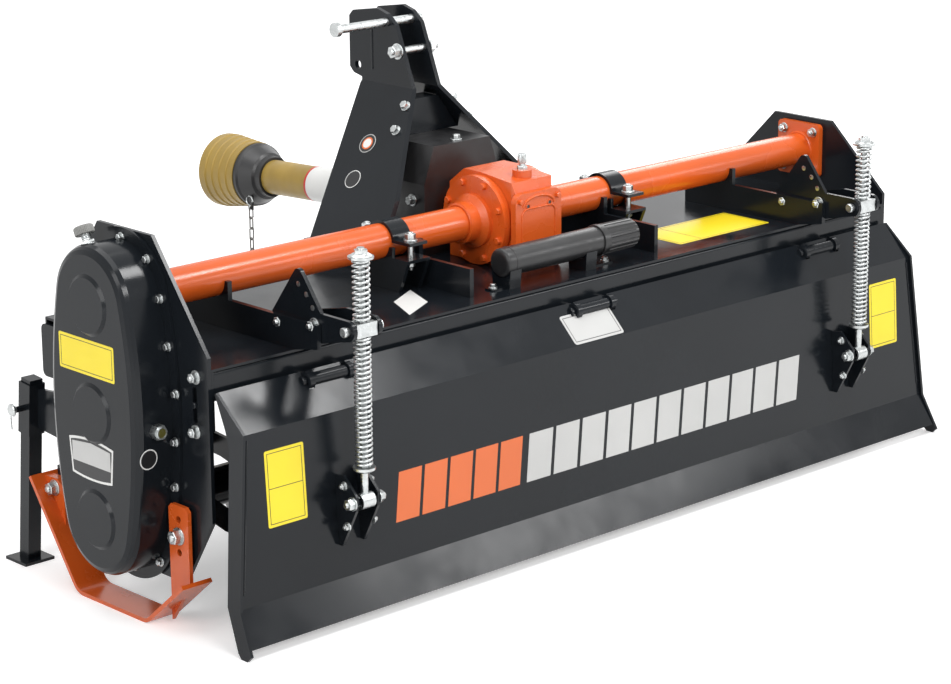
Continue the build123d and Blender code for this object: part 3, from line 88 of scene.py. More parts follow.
class Look:
    """A material with short calls for what the materials below share."""

    def __init__(self, name, colour, roughness, metallic=0.0):
        self.material = bpy.data.materials.new(name)
        self.material.use_nodes = True
        self.material.diffuse_color = (*colour, 1)
        self.tree = self.material.node_tree
        self.shader = self.tree.nodes["Principled BSDF"]
        self.shader.inputs["Base Color"].default_value = (*colour, 1)
        self.shader.inputs["Roughness"].default_value = roughness
        self.shader.inputs["Metallic"].default_value = metallic
        self.place = add_node(self.tree, "ShaderNodeTexCoord", {}).outputs["Object"]

    def noise(self, scale, detail):
        """A noise pattern's output, in cells per metre."""
        inputs = {"Vector": self.place, "Scale": scale, "Detail": detail}
        return add_node(self.tree, "ShaderNodeTexNoise", inputs).outputs["Fac"]

    def tones(self, value, low, first, high, last):
        """Set the colour to run from first to last as value goes from low to high."""
        ramp = add_node(self.tree, "ShaderNodeValToRGB", {"Fac": value})
        for element, position, colour in zip(ramp.color_ramp.elements, (low, high), (first, last)):
            element.position = position
            element.color = (*colour, 1)
        self.tree.links.new(ramp.outputs["Color"], self.shader.inputs["Base Color"])

    def gloss(self, value, low, high):
        """Set the roughness to run from low to high over a noise's usual span."""
        inputs = {"Value": value, "From Min": 0.3, "From Max": 0.7, "To Min": low, "To Max": high}
        spread = add_node(self.tree, "ShaderNodeMapRange", inputs)
        self.tree.links.new(spread.outputs["Result"], self.shader.inputs["Roughness"])

    def bump(self, value, height):
        """Bump from value, height metres deep."""
        made = add_node(self.tree, "ShaderNodeBump", {"Height": value, "Distance": height, "Strength": 1.0})
        self.tree.links.new(made.outputs["Normal"], self.shader.inputs["Normal"])


def shaded(colour, share):
    return tuple(min(1.0, share * channel) for channel in colour)


def paint(name, colour, roughness, peel=0.00006, gloss=0.5):
    """Gloss enamel over steel: slight orange peel, with faint drifts of tone and gloss."""
    look = Look(name, colour, roughness)
    look.tones(look.noise(3.5, 5), 0.3, shaded(colour, 0.86), 0.7, shaded(colour, 1.12))
    look.gloss(look.noise(11, 6), roughness - 0.05, roughness + 0.09)
    look.bump(look.noise(420, 2), peel)
    look.shader.inputs["Specular IOR Level"].default_value = gloss
    return look.material


def zinc(name, colour, roughness):
    """Bright zinc plate: mottled gloss over metal."""
    look = Look(name, colour, roughness, 1.0)
    look.gloss(look.noise(160, 3), roughness - 0.08, roughness + 0.14)
    look.tones(look.noise(90, 4), 0.34, shaded(colour, 0.82), 0.62, colour)
    look.bump(look.noise(700, 2), 0.00004)
    return look.material


def plastic(name, colour, roughness):
    """Moulded plastic with a fine grain."""
    look = Look(name, colour, roughness)
    look.tones(look.noise(14, 4), 0.35, shaded(colour, 0.82), 0.65, colour)
    look.gloss(look.noise(40, 3), roughness - 0.06, roughness + 0.08)
    look.bump(look.noise(900, 2), 0.00008)
    return look.material


def film(name, colour, roughness=0.32):
    """Printed vinyl film: smooth, with a faint drift of tone."""
    look = Look(name, colour, roughness)
    look.tones(look.noise(6, 3), 0.35, shaded(colour, 0.93), 0.65, colour)
    look.bump(look.noise(60, 2), 0.00005)
    return look.material


BLACK = paint("charcoal_enamel", (0.0078, 0.0098, 0.0125), 0.16, gloss=0.24)
ORANGE = paint("orange_enamel", (0.66, 0.105, 0.014), 0.22)
CAST_ORANGE = paint("orange_casting", (0.66, 0.102, 0.014), 0.24, 0.0004)
ZINC = zinc("zinc_plate", (0.55, 0.57, 0.57), 0.30)
STEEL = zinc("dark_steel", (0.20, 0.19, 0.18), 0.42)
YELLOW = plastic("guard_yellow", (0.36, 0.235, 0.045), 0.40)
BLACK_PLASTIC = plastic("black_plastic", (0.016, 0.016, 0.017), 0.36)
GREY_PLASTIC = plastic("grey_plastic", (0.24, 0.24, 0.23), 0.4)
YELLOW_FILM = film("yellow_film", (0.93, 0.74, 0.02))
WHITE_FILM = film("white_film", (0.80, 0.80, 0.78))
ORANGE_FILM = film("orange_film", (0.72, 0.15, 0.035))
SILVER_FILM = film("silver_film", (0.55, 0.55, 0.54), 0.28)
BLACK_FILM = film("black_film", (0.012, 0.012, 0.013))
RED_FILM = film("red_film", (0.55, 0.02, 0.015))
GLASS = plastic("sight_glass_lens", (0.10, 0.09, 0.02), 0.08)

NODE_MATERIALS = {
    "cross_tube": ORANGE,
    "skid_left": ORANGE,
    "skid_right": ORANGE,
    "tube_flange": ORANGE,
    "gearbox": CAST_ORANGE,
    "gearbox_hubs": CAST_ORANGE,
    "filler_cap": GREY_PLASTIC,
    "sight_glass": ZINC,
    "top_link_pin": ZINC,
    "pto_shield": BLACK_PLASTIC,
    "canister": BLACK_PLASTIC,
    "guard_collar": BLACK_PLASTIC,
    "pto_guard": YELLOW,
    "pto_shaft": STEEL,
    "guard_chain": STEEL,
    "rod_left": ZINC,
    "rod_right": ZINC,
    "trunnion_left": ZINC,
    "trunnion_right": ZINC,
}
SHARP_NODES = (
    "hood", "rear_rail", "side_plate_left", "side_plate_right", "front_beam", "mast", "mast_web",
    "pto_shield", "tube_ribs", "tube_clamps", "skid_left", "skid_right", "stand_leg", "stand_sleeve",
    "tailboard", "tail_ends", "rod_arms", "rod_clevises", "tube_flange", "lower_hitch",
)
SOFT_EDGES = {"tailboard": 0.0022, "tail_ends": 0.0016, "chain_case": 0.005, "mast_web": 0.0016}
SHARP_EDGE = 0.0009
SOFT_ANGLE, SHARP_ANGLE = 18, 40     # the least angle of an edge that is rounded
# The slot of each material that isn't black paint.
for name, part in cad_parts.items():
    for slot in part.material_slots:
        slot.material = NODE_MATERIALS.get(name, BLACK)
    if name in SHARP_NODES or name in SOFT_EDGES:
        bevel = part.modifiers.new("edges", "BEVEL")
        bevel.width = SOFT_EDGES.get(name, SHARP_EDGE)
        bevel.segments = 2
        bevel.limit_method = "ANGLE"
        bevel.angle_limit = math.radians(SOFT_ANGLE if name in SOFT_EDGES else SHARP_ANGLE)
        bevel.harden_normals = True


# ---------------------------------------------------------------- mesh helpers
SIDES = (("left", -1), ("right", 1))


def circle(radius, sides=36):
    """Points (x, y) round a circle."""
    angles = [2 * math.pi * i / sides for i in range(sides)]
    return [(radius * math.cos(angle), radius * math.sin(angle)) for angle in angles]


def arc(radius, start, sweep, steps):
    """Points (x, y) along an arc, its angles in degrees, with both ends."""
    angles = [math.radians(start + sweep * i / steps) for i in range(steps + 1)]
    return [(radius * math.cos(angle), radius * math.sin(angle)) for angle in angles]


def aimed(origin, axis, spin=0.0):
    """A frame at origin whose Z runs along axis."""
    turn = Vector(axis).normalized().to_track_quat("Z", "Y").to_matrix().to_4x4()
    return Matrix.Translation(origin) @ turn @ Matrix.Rotation(spin, 4, "Z")


def framed(origin, across, above, out):
    """A frame at origin with those three axes."""
    return Matrix.Translation(origin) @ Matrix((across, above, out)).transposed().to_4x4()


def placed(name, data):
    """A new object in the scene."""
    made = bpy.data.objects.new(name, data)
    bpy.context.collection.objects.link(made)
    return made


def piece(name, mesh, material, body="frame", soften=32):
    """Turn a bmesh into a named piece that rides on a body, smooth except at sharp edges."""
    bmesh.ops.recalc_face_normals(mesh, faces=mesh.faces)
    for face in mesh.faces:
        face.smooth = True
    for edge in mesh.edges:
        edge.smooth = edge.is_manifold and edge.calc_face_angle(0) < math.radians(soften)
    data = bpy.data.meshes.new(name)
    mesh.to_mesh(data)
    mesh.free()
    data.materials.append(material)
    made = placed(name, data)
    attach(made, body)
    return made


def rings(mesh, place, loops):
    """Join loops of points, given in place's own frame, into one closed skin."""
    made = [[mesh.verts.new(place @ Vector(point)) for point in loop] for loop in loops]
    for low, high in zip(made, made[1:]):
        count = len(low)
        for i in range(count):
            mesh.faces.new((low[i], low[(i + 1) % count], high[(i + 1) % count], high[i]))
    mesh.faces.new(list(reversed(made[0])))
    mesh.faces.new(made[-1])


def turned(mesh, place, profile, sides=32):
    """A solid of revolution from (radius, height) pairs."""
    rings(mesh, place, [[(x, y, height) for x, y in circle(radius, sides)] for radius, height in profile])


def stacked(mesh, place, outline, layers):
    """An outline of (x, y) points repeated at (share, height) pairs and joined."""
    rings(mesh, place, [[(x * share, y * share, height) for x, y in outline] for share, height in layers])


def knurled(radius, depth, sides):
    """A circle in which every third point lies deeper."""
    points = []
    for i, (x, y) in enumerate(circle(1.0, sides)):
        reach = radius - (0.0 if i % 3 else depth)
        points.append((reach * x, reach * y))
    return points


def prism(mesh, place, outline, low, high, rim=0.0):
    """An outline of (x, y) points, pushed from low to high, its top edge broken by rim."""
    loops = [[(x, y, low) for x, y in outline], [(x, y, high - rim) for x, y in outline]]
    if rim:
        middle = Vector((sum(x for x, _ in outline), sum(y for _, y in outline))) / len(outline)
        inset = []
        for x, y in outline:
            inward = (middle - Vector((x, y))).normalized()
            inset.append((x + inward.x * rim, y + inward.y * rim, high))
        loops.append(inset)
    rings(mesh, place, loops)


def hexagon(across):
    """The corners of a hexagon of that width across flats."""
    return circle(across / math.sqrt(3), 6)


# Bolts and nuts: width across flats, washer's diameter, and the thread end that shows.
BOLTS = {
    "case": (0.0115, 0.018, 0),
    "slot": (0.017, 0.026, 0.003),
    "flange": (0.016, 0.022, 0.003),
    "rotor_hub": (0.013, 0.020, 0),
    "gearbox_hub": (0.0125, 0, 0),
    "cover": (0.010, 0, 0),
    "mast": (0.015, 0.022, 0),
    "cross_head": (0.024, 0.034, 0.004),
    "cross_nut": (0.024, 0.034, 0.010),
    "shield_top": (0.015, 0.024, 0),
    "shield_side": (0.017, 0.026, 0),
    "clamp_head": (0.019, 0.028, 0.002),
    "clamp_nut": (0.017, 0.026, 0.006),
    "canister": (0.011, 0.018, 0),
    "gusset": (0.017, 0.027, 0.004),
    "clevis": (0.011, 0.017, 0.002),
    "eye": (0.019, 0.026, 0.004),
    "skid_strap": (0.024, 0.034, 0.003),
    "skid_lug": (0.022, 0.032, 0.003),
}
WASHER = 0.0022          # thickness
HEAD_SHARE = 0.62        # of the width across flats, for a head's height
THREAD_SHARE = 0.29      # of the width across flats, for a thread's radius
THREAD_PITCH = 0.0015


def bolt(mesh, origin, axis, kind, spin=0.3):
    """A hexagon head, with a washer under it and a thread end over it where BOLTS gives them."""
    across, washer, thread = BOLTS[kind]
    place = aimed(origin, axis, spin)
    base = 0.0
    if washer:
        turned(mesh, place, ((washer / 2, 0), (washer / 2, 0.0018), (washer / 2 - 0.0005, 0.0023)), 28)
        base = WASHER
    height = HEAD_SHARE * across
    prism(mesh, place, hexagon(across), base, base + height, 0.0012)
    if thread:
        radius = THREAD_SHARE * across
        turns = max(2, int(thread / THREAD_PITCH))
        profile = [(radius, base + height - 0.001)]
        for i in range(turns):
            profile.append((radius * 0.9, base + height + thread * (i + 0.5) / turns))
            profile.append((radius, base + height + thread * (i + 1) / turns))
        profile.append((radius * 0.75, base + height + thread + 0.001))
        turned(mesh, place, profile, 16)


def tube(mesh, points, radius, sides=10, close=False):
    """A round bar along points; its radius may be a function of the point's index."""
    points = [Vector(point) for point in points]
    count = len(points)
    tangents = []
    for i in range(count):
        if close:
            ahead, behind = points[(i + 1) % count], points[i - 1]
        else:
            ahead, behind = points[min(i + 1, count - 1)], points[max(i - 1, 0)]
        tangents.append((ahead - behind).normalized())
    side = tangents[0].orthogonal().normalized()
    loops = []
    for i, (point, tangent) in enumerate(zip(points, tangents)):
        side = (side - tangent * side.dot(tangent)).normalized()
        other = tangent.cross(side)
        size = radius(i) if callable(radius) else radius
        loops.append([point + size * (x * side + y * other) for x, y in circle(1.0, sides)])
    if not close:
        rings(mesh, Matrix.Identity(4), loops)
        return
    made = [[mesh.verts.new(point) for point in loop] for loop in loops]
    for low, high in zip(made, made[1:] + made[:1]):
        gaps = [(low[0].co - vertex.co).length for vertex in high]
        first = gaps.index(min(gaps))
        for k in range(sides):
            here, beyond = (k + first) % sides, (k + 1 + first) % sides
            mesh.faces.new((low[k], low[(k + 1) % sides], high[beyond], high[here]))


def weld(mesh, start, end, radius=0.003, ripple=0.0045):
    """A weld bead with ripples from start to end."""
    start, end = Vector(start), Vector(end)
    length = (end - start).length
    count = max(3, int(length / (ripple / 4)))

    def size(i):
        phase = (i * length / count) / ripple
        wobble = 1 + 0.08 * math.sin(1.7 * phase)
        return radius * wobble * (0.82 + 0.18 * abs(math.sin(math.pi * phase)))

    tube(mesh, [start.lerp(end, i / count) for i in range(count + 1)], size, 8)


# ---------------------------------------------------------------- springs
SPRING_R = 0.0144        # to the middle of the wire
SPRING_WIRE = 0.0026
SPRING_COILS = {"lower": 27, "upper": 12}
COIL_STEPS = 22


def coil(low, high, turns, middle):
    """Points along a compression spring with a closed turn at each end."""
    closed = 1.0
    wire_pitch = 2.05 * SPRING_WIRE
    low_z, high_z = low + SPRING_WIRE, high - SPRING_WIRE
    open_rise = (high_z - low_z - 2 * closed * wire_pitch) / (turns - 2 * closed)
    points = []
    for i in range(turns * COIL_STEPS + 1):
        turn = i / COIL_STEPS
        if turn < closed:
            z = low_z + turn * wire_pitch
        elif turn > turns - closed:
            z = high_z - (turns - turn) * wire_pitch
        else:
            z = low_z + closed * wire_pitch + (turn - closed) * open_rise
        angle = 2 * math.pi * turn
        points.append(middle + Vector((SPRING_R * math.cos(angle), SPRING_R * math.sin(angle), z)))
    return points


def springs():
    """The wire of the four springs, in place of the CAD's plain ones."""
    for side, _ in SIDES:
        for where, turns in SPRING_COILS.items():
            node = f"spring_{where}_{side}"
            low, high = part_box(node)
            middle = Vector(((low.x + high.x) / 2, (low.y + high.y) / 2, 0))
            mesh = bmesh.new()
            tube(mesh, coil(low.z, high.z, turns, middle), SPRING_WIRE, 10)
            body = f"rod_{side}" if where == "lower" else f"trunnion_{side}"
            made = piece(f"{node}_wire", mesh, ZINC, body, soften=60)
            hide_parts(node)
            if where == "lower":
                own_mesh(made)


# ---------------------------------------------------------------- placing on the CAD
TREES = {}
FILM = 0.0003            # thickness of a sheet of film
PRINT = 0.0002           # thickness of what is printed on it
PRINT_INSET = 0.006      # of a sticker's printed frame
PRINT_LINE = 0.0012
CORNERS = ((-1, -1), (1, -1), (1, 1), (-1, 1))


def land(node, start, direction):
    """Where a ray from start first meets a CAD node, and the outward normal there.

    Starts lie outside the node. How far outside makes no difference.
    """
    if node not in TREES:
        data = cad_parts[node].data
        TREES[node] = BVHTree.FromPolygons(
            [vertex.co for vertex in data.vertices], [face.vertices for face in data.polygons]
        )
    direction = Vector(direction).normalized()
    point, normal, _, _ = TREES[node].ray_cast(start, direction)
    if point is None:
        raise ValueError(f"nothing of {node} lies ahead of {tuple(start)}")
    if normal.dot(direction) > 0:
        normal = -normal
    return point, normal


def fasten(name, node, rows, direction, kind):
    """A bolt on a CAD node wherever a ray from one of the rows meets it."""
    mesh = bmesh.new()
    for i, row in enumerate(rows):
        point, normal = land(node, at(*row), direction)
        bolt(mesh, point, normal, kind, 0.3 + 0.9 * i)
    piece(name, mesh, ZINC)


def flat_on(node, middle, direction, along, lift):
    """A frame on a CAD node's flat face with X along the given direction, raised by lift."""
    point, normal = land(node, middle, direction)
    side = (along - normal * along.dot(normal)).normalized()
    return framed(point + normal * lift, side, normal.cross(side), normal)


def patch(name, node, middle, direction, outline, material, body="frame", along=ALONG, lift=0.0):
    """Thin film of that outline on a CAD node's flat face."""
    mesh = bmesh.new()
    prism(mesh, flat_on(node, middle, direction, along, lift), outline, 0.0, FILM)
    piece(name, mesh, material, body)


def rounded(width, height, corner, steps=5):
    """A rectangle with rounded corners, about its middle."""
    points = []
    for quarter, (sx, sy) in enumerate(((1, 1), (-1, 1), (-1, -1), (1, -1))):
        centre_x, centre_y = sx * (width / 2 - corner), sy * (height / 2 - corner)
        points += [(centre_x + x, centre_y + y) for x, y in arc(corner, 90 * quarter, 90, steps)]
    return points


def label(name, node, middle, direction, size, fill, body="frame", along=ALONG, bars=(), corner=0.004):
    """A blank sticker: a sheet of film with a thin black frame and bars printed on it.

    bars are (across, up, width, height) from the sticker's middle.
    """
    width, height = size
    patch(name, node, middle, direction, rounded(width, height, corner), fill, body, along)
    place = flat_on(node, middle, direction, along, FILM)
    mesh = bmesh.new()
    inner_w, inner_h = width / 2 - PRINT_INSET, height / 2 - PRINT_INSET
    strips = [
        (0, inner_h, 2 * inner_w + PRINT_LINE, PRINT_LINE),
        (0, -inner_h, 2 * inner_w + PRINT_LINE, PRINT_LINE),
        (inner_w, 0, PRINT_LINE, 2 * inner_h - PRINT_LINE),
        (-inner_w, 0, PRINT_LINE, 2 * inner_h - PRINT_LINE),
        *bars,
    ]
    for across, up, strip_w, strip_h in strips:
        corners = [(across + sx * strip_w / 2, up + sy * strip_h / 2) for sx, sy in CORNERS]
        prism(mesh, place, corners, 0.0, PRINT)
    piece(f"{name}_print", mesh, BLACK_FILM, body)


# ---------------------------------------------------------------- chain case
CASE_BOLTS = (
    # y, z of the rear half, from the top down
    (0.078, 0.681), (-0.001, 0.712), (-0.077, 0.684), (-0.112, 0.617), (-0.130, 0.531), (-0.149, 0.446),
    (-0.142, 0.354), (-0.138, 0.267), (-0.085, 0.109), (-0.003, 0.079),
)
CASE_HEAD_Z = 0.66               # below this the front half's bolts mirror the rear half's
CASE_LABEL = (0.010, 0.499)      # y, z
CASE_BADGE = (0.007, 0.302)      # y, z
BADGE_W, BADGE_H = 0.136, 0.074
LEVEL_MARK = (-1.005, 0.330)     # x, z on the case's rear
FILLER_LEAN = math.radians(27)   # towards the front
FILLER_FOOT = 0.110              # from the tube's middle
FILLER_NECK_R = 0.0095
FILLER_KNOB_R = 0.019


def chain_case():
    left = off("side_plate_left", 0).x - 0.3
    rows = []
    for y, z in CASE_BOLTS:
        rows.append((left, y, z))
        if abs(y) > 0.02 and z < CASE_HEAD_Z:
            rows.append((left, -y, z))
    mesh = bmesh.new()
    for i, row in enumerate(rows):
        point, _ = land("chain_case", at(*row), ALONG)
        bolt(mesh, point, -ALONG, "case", 0.3 + 0.9 * i)
    piece("case_bolts", mesh, ZINC)
    low = off("chain_case", 0)
    side = low.x - 0.1
    label("case_label", "chain_case", at(side, *CASE_LABEL), ALONG, (0.168, 0.068), YELLOW_FILM,
          along=-FORWARD)
    badge(at(side, *CASE_BADGE))
    mark_x, mark_z = LEVEL_MARK
    mark = at(mark_x, low.y - 0.1, mark_z)
    patch("level_mark_rim", "chain_case", mark, FORWARD, circle(0.0195), WHITE_FILM)
    patch("level_mark", "chain_case", mark, FORWARD, circle(0.0172), BLACK_FILM, lift=FILM)
    filler()
    sight()


def badge_outline(share_w, share_h):
    """The badge's outline at those shares of its size, arched at the top and the foot."""
    half_w, half_h = BADGE_W / 2 * share_w, BADGE_H / 2 * share_h
    steps = [t / 4 - 1 for t in range(9)]
    top = [(-half_w * t, half_h + 0.10 * BADGE_H * (1 - t * t)) for t in steps]
    foot = [(0.90 * half_w * t, -half_h - 0.07 * BADGE_H * (1 - t * t)) for t in steps]
    return top + foot


def badge(middle):
    """A blank shield badge: light rim, dark field and a light panel with a low peak."""
    half_w, half_h = BADGE_W / 2 * 0.86, BADGE_H / 2
    panel = [(-half_w, -0.25 * half_h), (half_w, -0.25 * half_h), (half_w, 0.74 * half_h),
             (0, 0.90 * half_h), (-half_w, 0.74 * half_h)]
    layers = (
        ("case_badge", badge_outline(1.0, 0.92), WHITE_FILM),
        ("case_badge_field", badge_outline(0.93, 0.80), BLACK_FILM),
        ("case_badge_panel", panel, SILVER_FILM),
    )
    for level, (name, outline, material) in enumerate(layers):
        patch(name, "chain_case", middle, ALONG, outline, material, along=-FORWARD, lift=FILM * level)


def filler():
    """The oil filler: a zinc neck with a hexagon and rings, and a knurled cap."""
    low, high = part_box("filler_cap")
    axis = Vector((0, math.sin(FILLER_LEAN), math.cos(FILLER_LEAN)))
    place = aimed(Vector(((low.x + high.x) / 2, MID.y, TUBE_Z)) + FILLER_FOOT * axis, axis)
    mesh = bmesh.new()
    turned(mesh, place, ((FILLER_NECK_R, 0), (FILLER_NECK_R, 0.006), (0.0085, 0.007), (0.0085, 0.018)), 28)
    prism(mesh, place, hexagon(0.024), 0.001, 0.006, 0.0008)
    for ring in range(3):
        low_z = 0.0095 + 0.0026 * ring
        turned(mesh, place, ((0.0088, low_z), (0.0098, low_z + 0.0009), (0.0088, low_z + 0.0018)), 28)
    piece("filler_neck", mesh, ZINC)
    mesh = bmesh.new()
    layers = ((0.9, 0.018), (1.0, 0.0195), (1.0, 0.0315), (0.94, 0.0335), (0.84, 0.0350), (0.5, 0.0344))
    stacked(mesh, place, knurled(FILLER_KNOB_R, 0.0011, 102), layers)
    made = piece("filler_knob", mesh, GREY_PLASTIC, soften=40)
    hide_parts("filler_cap")


def sight():
    """The oil sight glass: a lens inside a ring on the hexagon body."""
    low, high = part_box("sight_glass")
    place = aimed(Vector(((low.x + high.x) / 2, low.y, (low.z + high.z) / 2)), -FORWARD)
    mesh = bmesh.new()
    turned(mesh, place, ((0.0115, -0.001), (0.0115, 0.0012), (0.0108, 0.0019), (0.0092, 0.0019),
                         (0.0088, 0.0006), (0.0088, -0.0005)))
    piece("sight_ring", mesh, ZINC)
    mesh = bmesh.new()
    turned(mesh, place, ((0.0090, 0.0), (0.0090, 0.0007), (0.0060, 0.0014), (0.0020, 0.0017)))
    piece("sight_lens", mesh, GLASS)


# ---------------------------------------------------------------- side plates, flange and rotor hub
SLOT_BOLTS = ((-0.200, 0.487), (-0.196, 0.384), (0.182, 0.487), (0.182, 0.384))     # y, z
SLOT_BUSHES = ((-0.195, 0.434), (0.182, 0.434))                                     # y, z
FLANGE_CORNER = 0.042            # of its bolts, from the tube's middle
ROTOR_Z = 0.190
ROTOR_BOLT_R = 0.050


def side_plates():
    for side, sign in SIDES:
        node = f"side_plate_{side}"
        corner = 0 if sign < 0 else 1
        start = off(node, corner).x + sign * 0.3
        fasten(f"slot_bolts_{side}", node, [(start, y, z) for y, z in SLOT_BOLTS], -sign * ALONG, "slot")
        mesh = bmesh.new()
        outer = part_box(node)[corner].x
        for y, z in SLOT_BUSHES:
            place = aimed(Vector((outer, MID.y + y, z)), sign * ALONG)
            turned(mesh, place, ((0.0060, -0.004), (0.0060, 0.0035), (0.0045, 0.0048)), 24)
        piece(f"slot_bushes_{side}", mesh, BLACK)
    corners = [(sy * FLANGE_CORNER, TUBE_Z + sz * FLANGE_CORNER) for sy in (-1, 1) for sz in (-1, 1)]
    inner = off("tube_flange", 0).x - 0.05
    outer = off("side_plate_right", 1).x + 0.3
    fasten("flange_bolts", "tube_flange", [(inner, y, z) for y, z in corners], ALONG, "flange")
    fasten("flange_nuts", "side_plate_right", [(outer, y, z) for y, z in corners], -ALONG, "slot")
    mesh = bmesh.new()
    ring_weld(mesh, "tube_flange", 0, TUBE_R + 0.0015, 0.0035)
    piece("flange_weld", mesh, ORANGE)
    start = off("rotor_hub", 1).x + 0.1
    rows = [(start, y, ROTOR_Z + z) for y, z in arc(ROTOR_BOLT_R, 30, 300, 5)]
    fasten("hub_bolts", "rotor_hub", rows, -ALONG, "rotor_hub")


def ring_weld(mesh, node, corner, radius, bead, shift=0.0):
    """A weld bead round the cross tube where a node's face at that corner meets it."""
    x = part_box(node)[corner].x + shift
    points = [Vector((x, MID.y + y, TUBE_Z + z)) for y, z in circle(radius, 72)]
    tube(mesh, points, lambda i: bead * (0.86 + 0.14 * abs(math.sin(1.9 * i))), 8, True)


# ---------------------------------------------------------------- gearbox
HUB_BOLT_R = 0.080
COVER_EYES = ((-0.030, 0.636), (0.030, 0.636))                                      # x, z
COVER_BOLTS = ((-0.052, 0.522), (0.052, 0.522), (-0.052, 0.648), (0.052, 0.648))    # x, z
COVER_Z = 0.585
BREATHER_Y = -0.062


def gearbox():
    mesh = bmesh.new()
    for start, direction in ((-0.6, ALONG), (0.6, -ALONG)):
        for i, (y, z) in enumerate(arc(HUB_BOLT_R, 22.5, 315, 7)):
            point, _ = land("gearbox_hubs", at(start, y, TUBE_Z + z), direction)
            bolt(mesh, point, -direction, "gearbox_hub", 0.5 * i)
    piece("hub_flange_bolts", mesh, CAST_ORANGE)
    mesh = bmesh.new()
    ring_weld(mesh, "gearbox_hubs", 0, TUBE_R + 0.003, 0.0040, 0.002)
    ring_weld(mesh, "gearbox_hubs", 1, TUBE_R + 0.003, 0.0040, -0.002)
    piece("hub_welds", mesh, ORANGE)
    cover()
    breather()


def cover():
    """The rear cover's raised frame and arch, its cast eyes with painted shade in their bores, and its
    bolts.
    """
    start = off("gearbox", 0).y - 0.1
    point, _ = land("gearbox", at(0, start, COVER_Z), FORWARD)
    place = framed(point, ALONG, UP, -FORWARD)
    mesh = bmesh.new()
    rim = [place @ Vector((x, y - 0.008, 0.0)) for x, y in rounded(0.094, 0.108, 0.016)]
    tube(mesh, rim, 0.0022, 8, True)
    arch = [place @ Vector((0.043 * x, 0.050 + 0.020 * y, 0.0)) for x, y in arc(1.0, 0, 180, 16)]
    tube(mesh, arch, 0.0030, 8)
    piece("cover_ribs", mesh, CAST_ORANGE)
    eyes = bmesh.new()
    bore_shade = bmesh.new()
    for x, z in COVER_EYES:
        point, _ = land("gearbox", at(x, start, z), FORWARD)
        place = aimed(point, -FORWARD)
        turned(eyes, place, ((0.0062, -0.0005), (0.0062, 0.0010), (0.0054, 0.0016), (0.0042, 0.0014),
                             (0.0040, 0.0)), 24)
        # Each eye's bore gets a thin black disc: painted shade that stands for the dark inside the hole.
        turned(bore_shade, place, ((0.0041, 0.0), (0.0041, 0.0003), (0.0020, 0.0004)), 24)
    piece("cover_eyes", eyes, CAST_ORANGE)
    piece("cover_eye_painted_shade", bore_shade, BLACK_FILM)
    mesh = bmesh.new()
    for x, z in COVER_BOLTS:
        point, _ = land("gearbox", at(x, start, z), FORWARD)
        bolt(mesh, point, -FORWARD, "cover", 0.4)
    piece("cover_bolts", mesh, CAST_ORANGE)


def breather():
    """The zinc breather on the gearbox's top boss."""
    point, _ = land("gearbox", at(0, BREATHER_Y, 0.8), -UP)
    place = aimed(point, UP)
    mesh = bmesh.new()
    prism(mesh, place, hexagon(0.019), 0.0, 0.007, 0.0008)
    turned(mesh, place, ((0.0065, 0.0065), (0.0065, 0.0135)), 24)
    layers = ((0.9, 0.0125), (1.0, 0.0135), (1.0, 0.0300), (0.9, 0.0320), (0.5, 0.0326))
    stacked(mesh, place, knurled(0.0092, 0.0008, 60), layers)
    piece("gearbox_breather", mesh, ZINC, soften=40)


# ---------------------------------------------------------------- mast and shield
MAST_BOLTS = ((0.215, 0.800), (0.207, 0.755))        # y, z
CROSS_BOLT = (0.266, 0.905)                          # y, z
MAST_WELD_Y = 0.346
MAST_WELD_ENDS = (0.950, 0.858)                      # z
MAST_MARKS = (
    # name, x to look from, y, z, radius, and the share and material of each layer
    ("upper", -0.42, 0.269, 0.723, 0.0215,
     ((1.0, SILVER_FILM), (0.92, BLACK_FILM), (0.66, ORANGE_FILM), (0.50, WHITE_FILM))),
    ("lower", -0.46, 0.259, 0.657, 0.0205, ((1.0, WHITE_FILM), (0.91, BLACK_FILM))),
)
SHIELD_TOP_BOLT = (0.004, 0.138)                     # x, y
SHIELD_SIDE_BOLT = (0.153, 0.619)                    # y, z


def mast():
    for side, sign in SIDES:
        rows = [(sign * 0.5, y, z) for y, z in MAST_BOLTS]
        fasten(f"mast_bolts_{side}", "mast", rows, -sign * ALONG, "mast")
    mesh = bmesh.new()
    near, _ = land("mast", at(-0.3, *CROSS_BOLT), ALONG)
    far, _ = land("mast", at(0.3, *CROSS_BOLT), -ALONG)
    bolt(mesh, near, -ALONG, "cross_head")
    bolt(mesh, far, ALONG, "cross_nut")
    tube(mesh, [near, far], 0.008, 20)
    piece("mast_cross_bolt", mesh, ZINC)
    mesh = bmesh.new()
    for _, sign in SIDES:
        ends = [land("mast", at(0.3 * sign, MAST_WELD_Y, z), -sign * ALONG)[0] for z in MAST_WELD_ENDS]
        weld(mesh, *ends, 0.0026)
    piece("mast_welds", mesh, BLACK)
    for name, x, y, z, radius, layers in MAST_MARKS:
        for level, (share, material) in enumerate(layers):
            patch(f"mast_mark_{name}_{level + 1}", "mast", at(x, y, z), ALONG, circle(radius * share),
                  material, along=-FORWARD, lift=FILM * level)
    fasten("shield_bolts_top", "pto_shield", ((*SHIELD_TOP_BOLT, 0.9),), -UP, "shield_top")
    for side, sign in SIDES:
        row = (sign * 0.3, *SHIELD_SIDE_BOLT)
        fasten(f"shield_bolt_{side}", "pto_shield", (row,), -sign * ALONG, "shield_side")
    hitch()


HITCH_PIN = (0.380, 0.460)       # y, z
LINCH_INSET = 0.014              # from the hitch pin's tip
LINCH_RING_R = 0.021


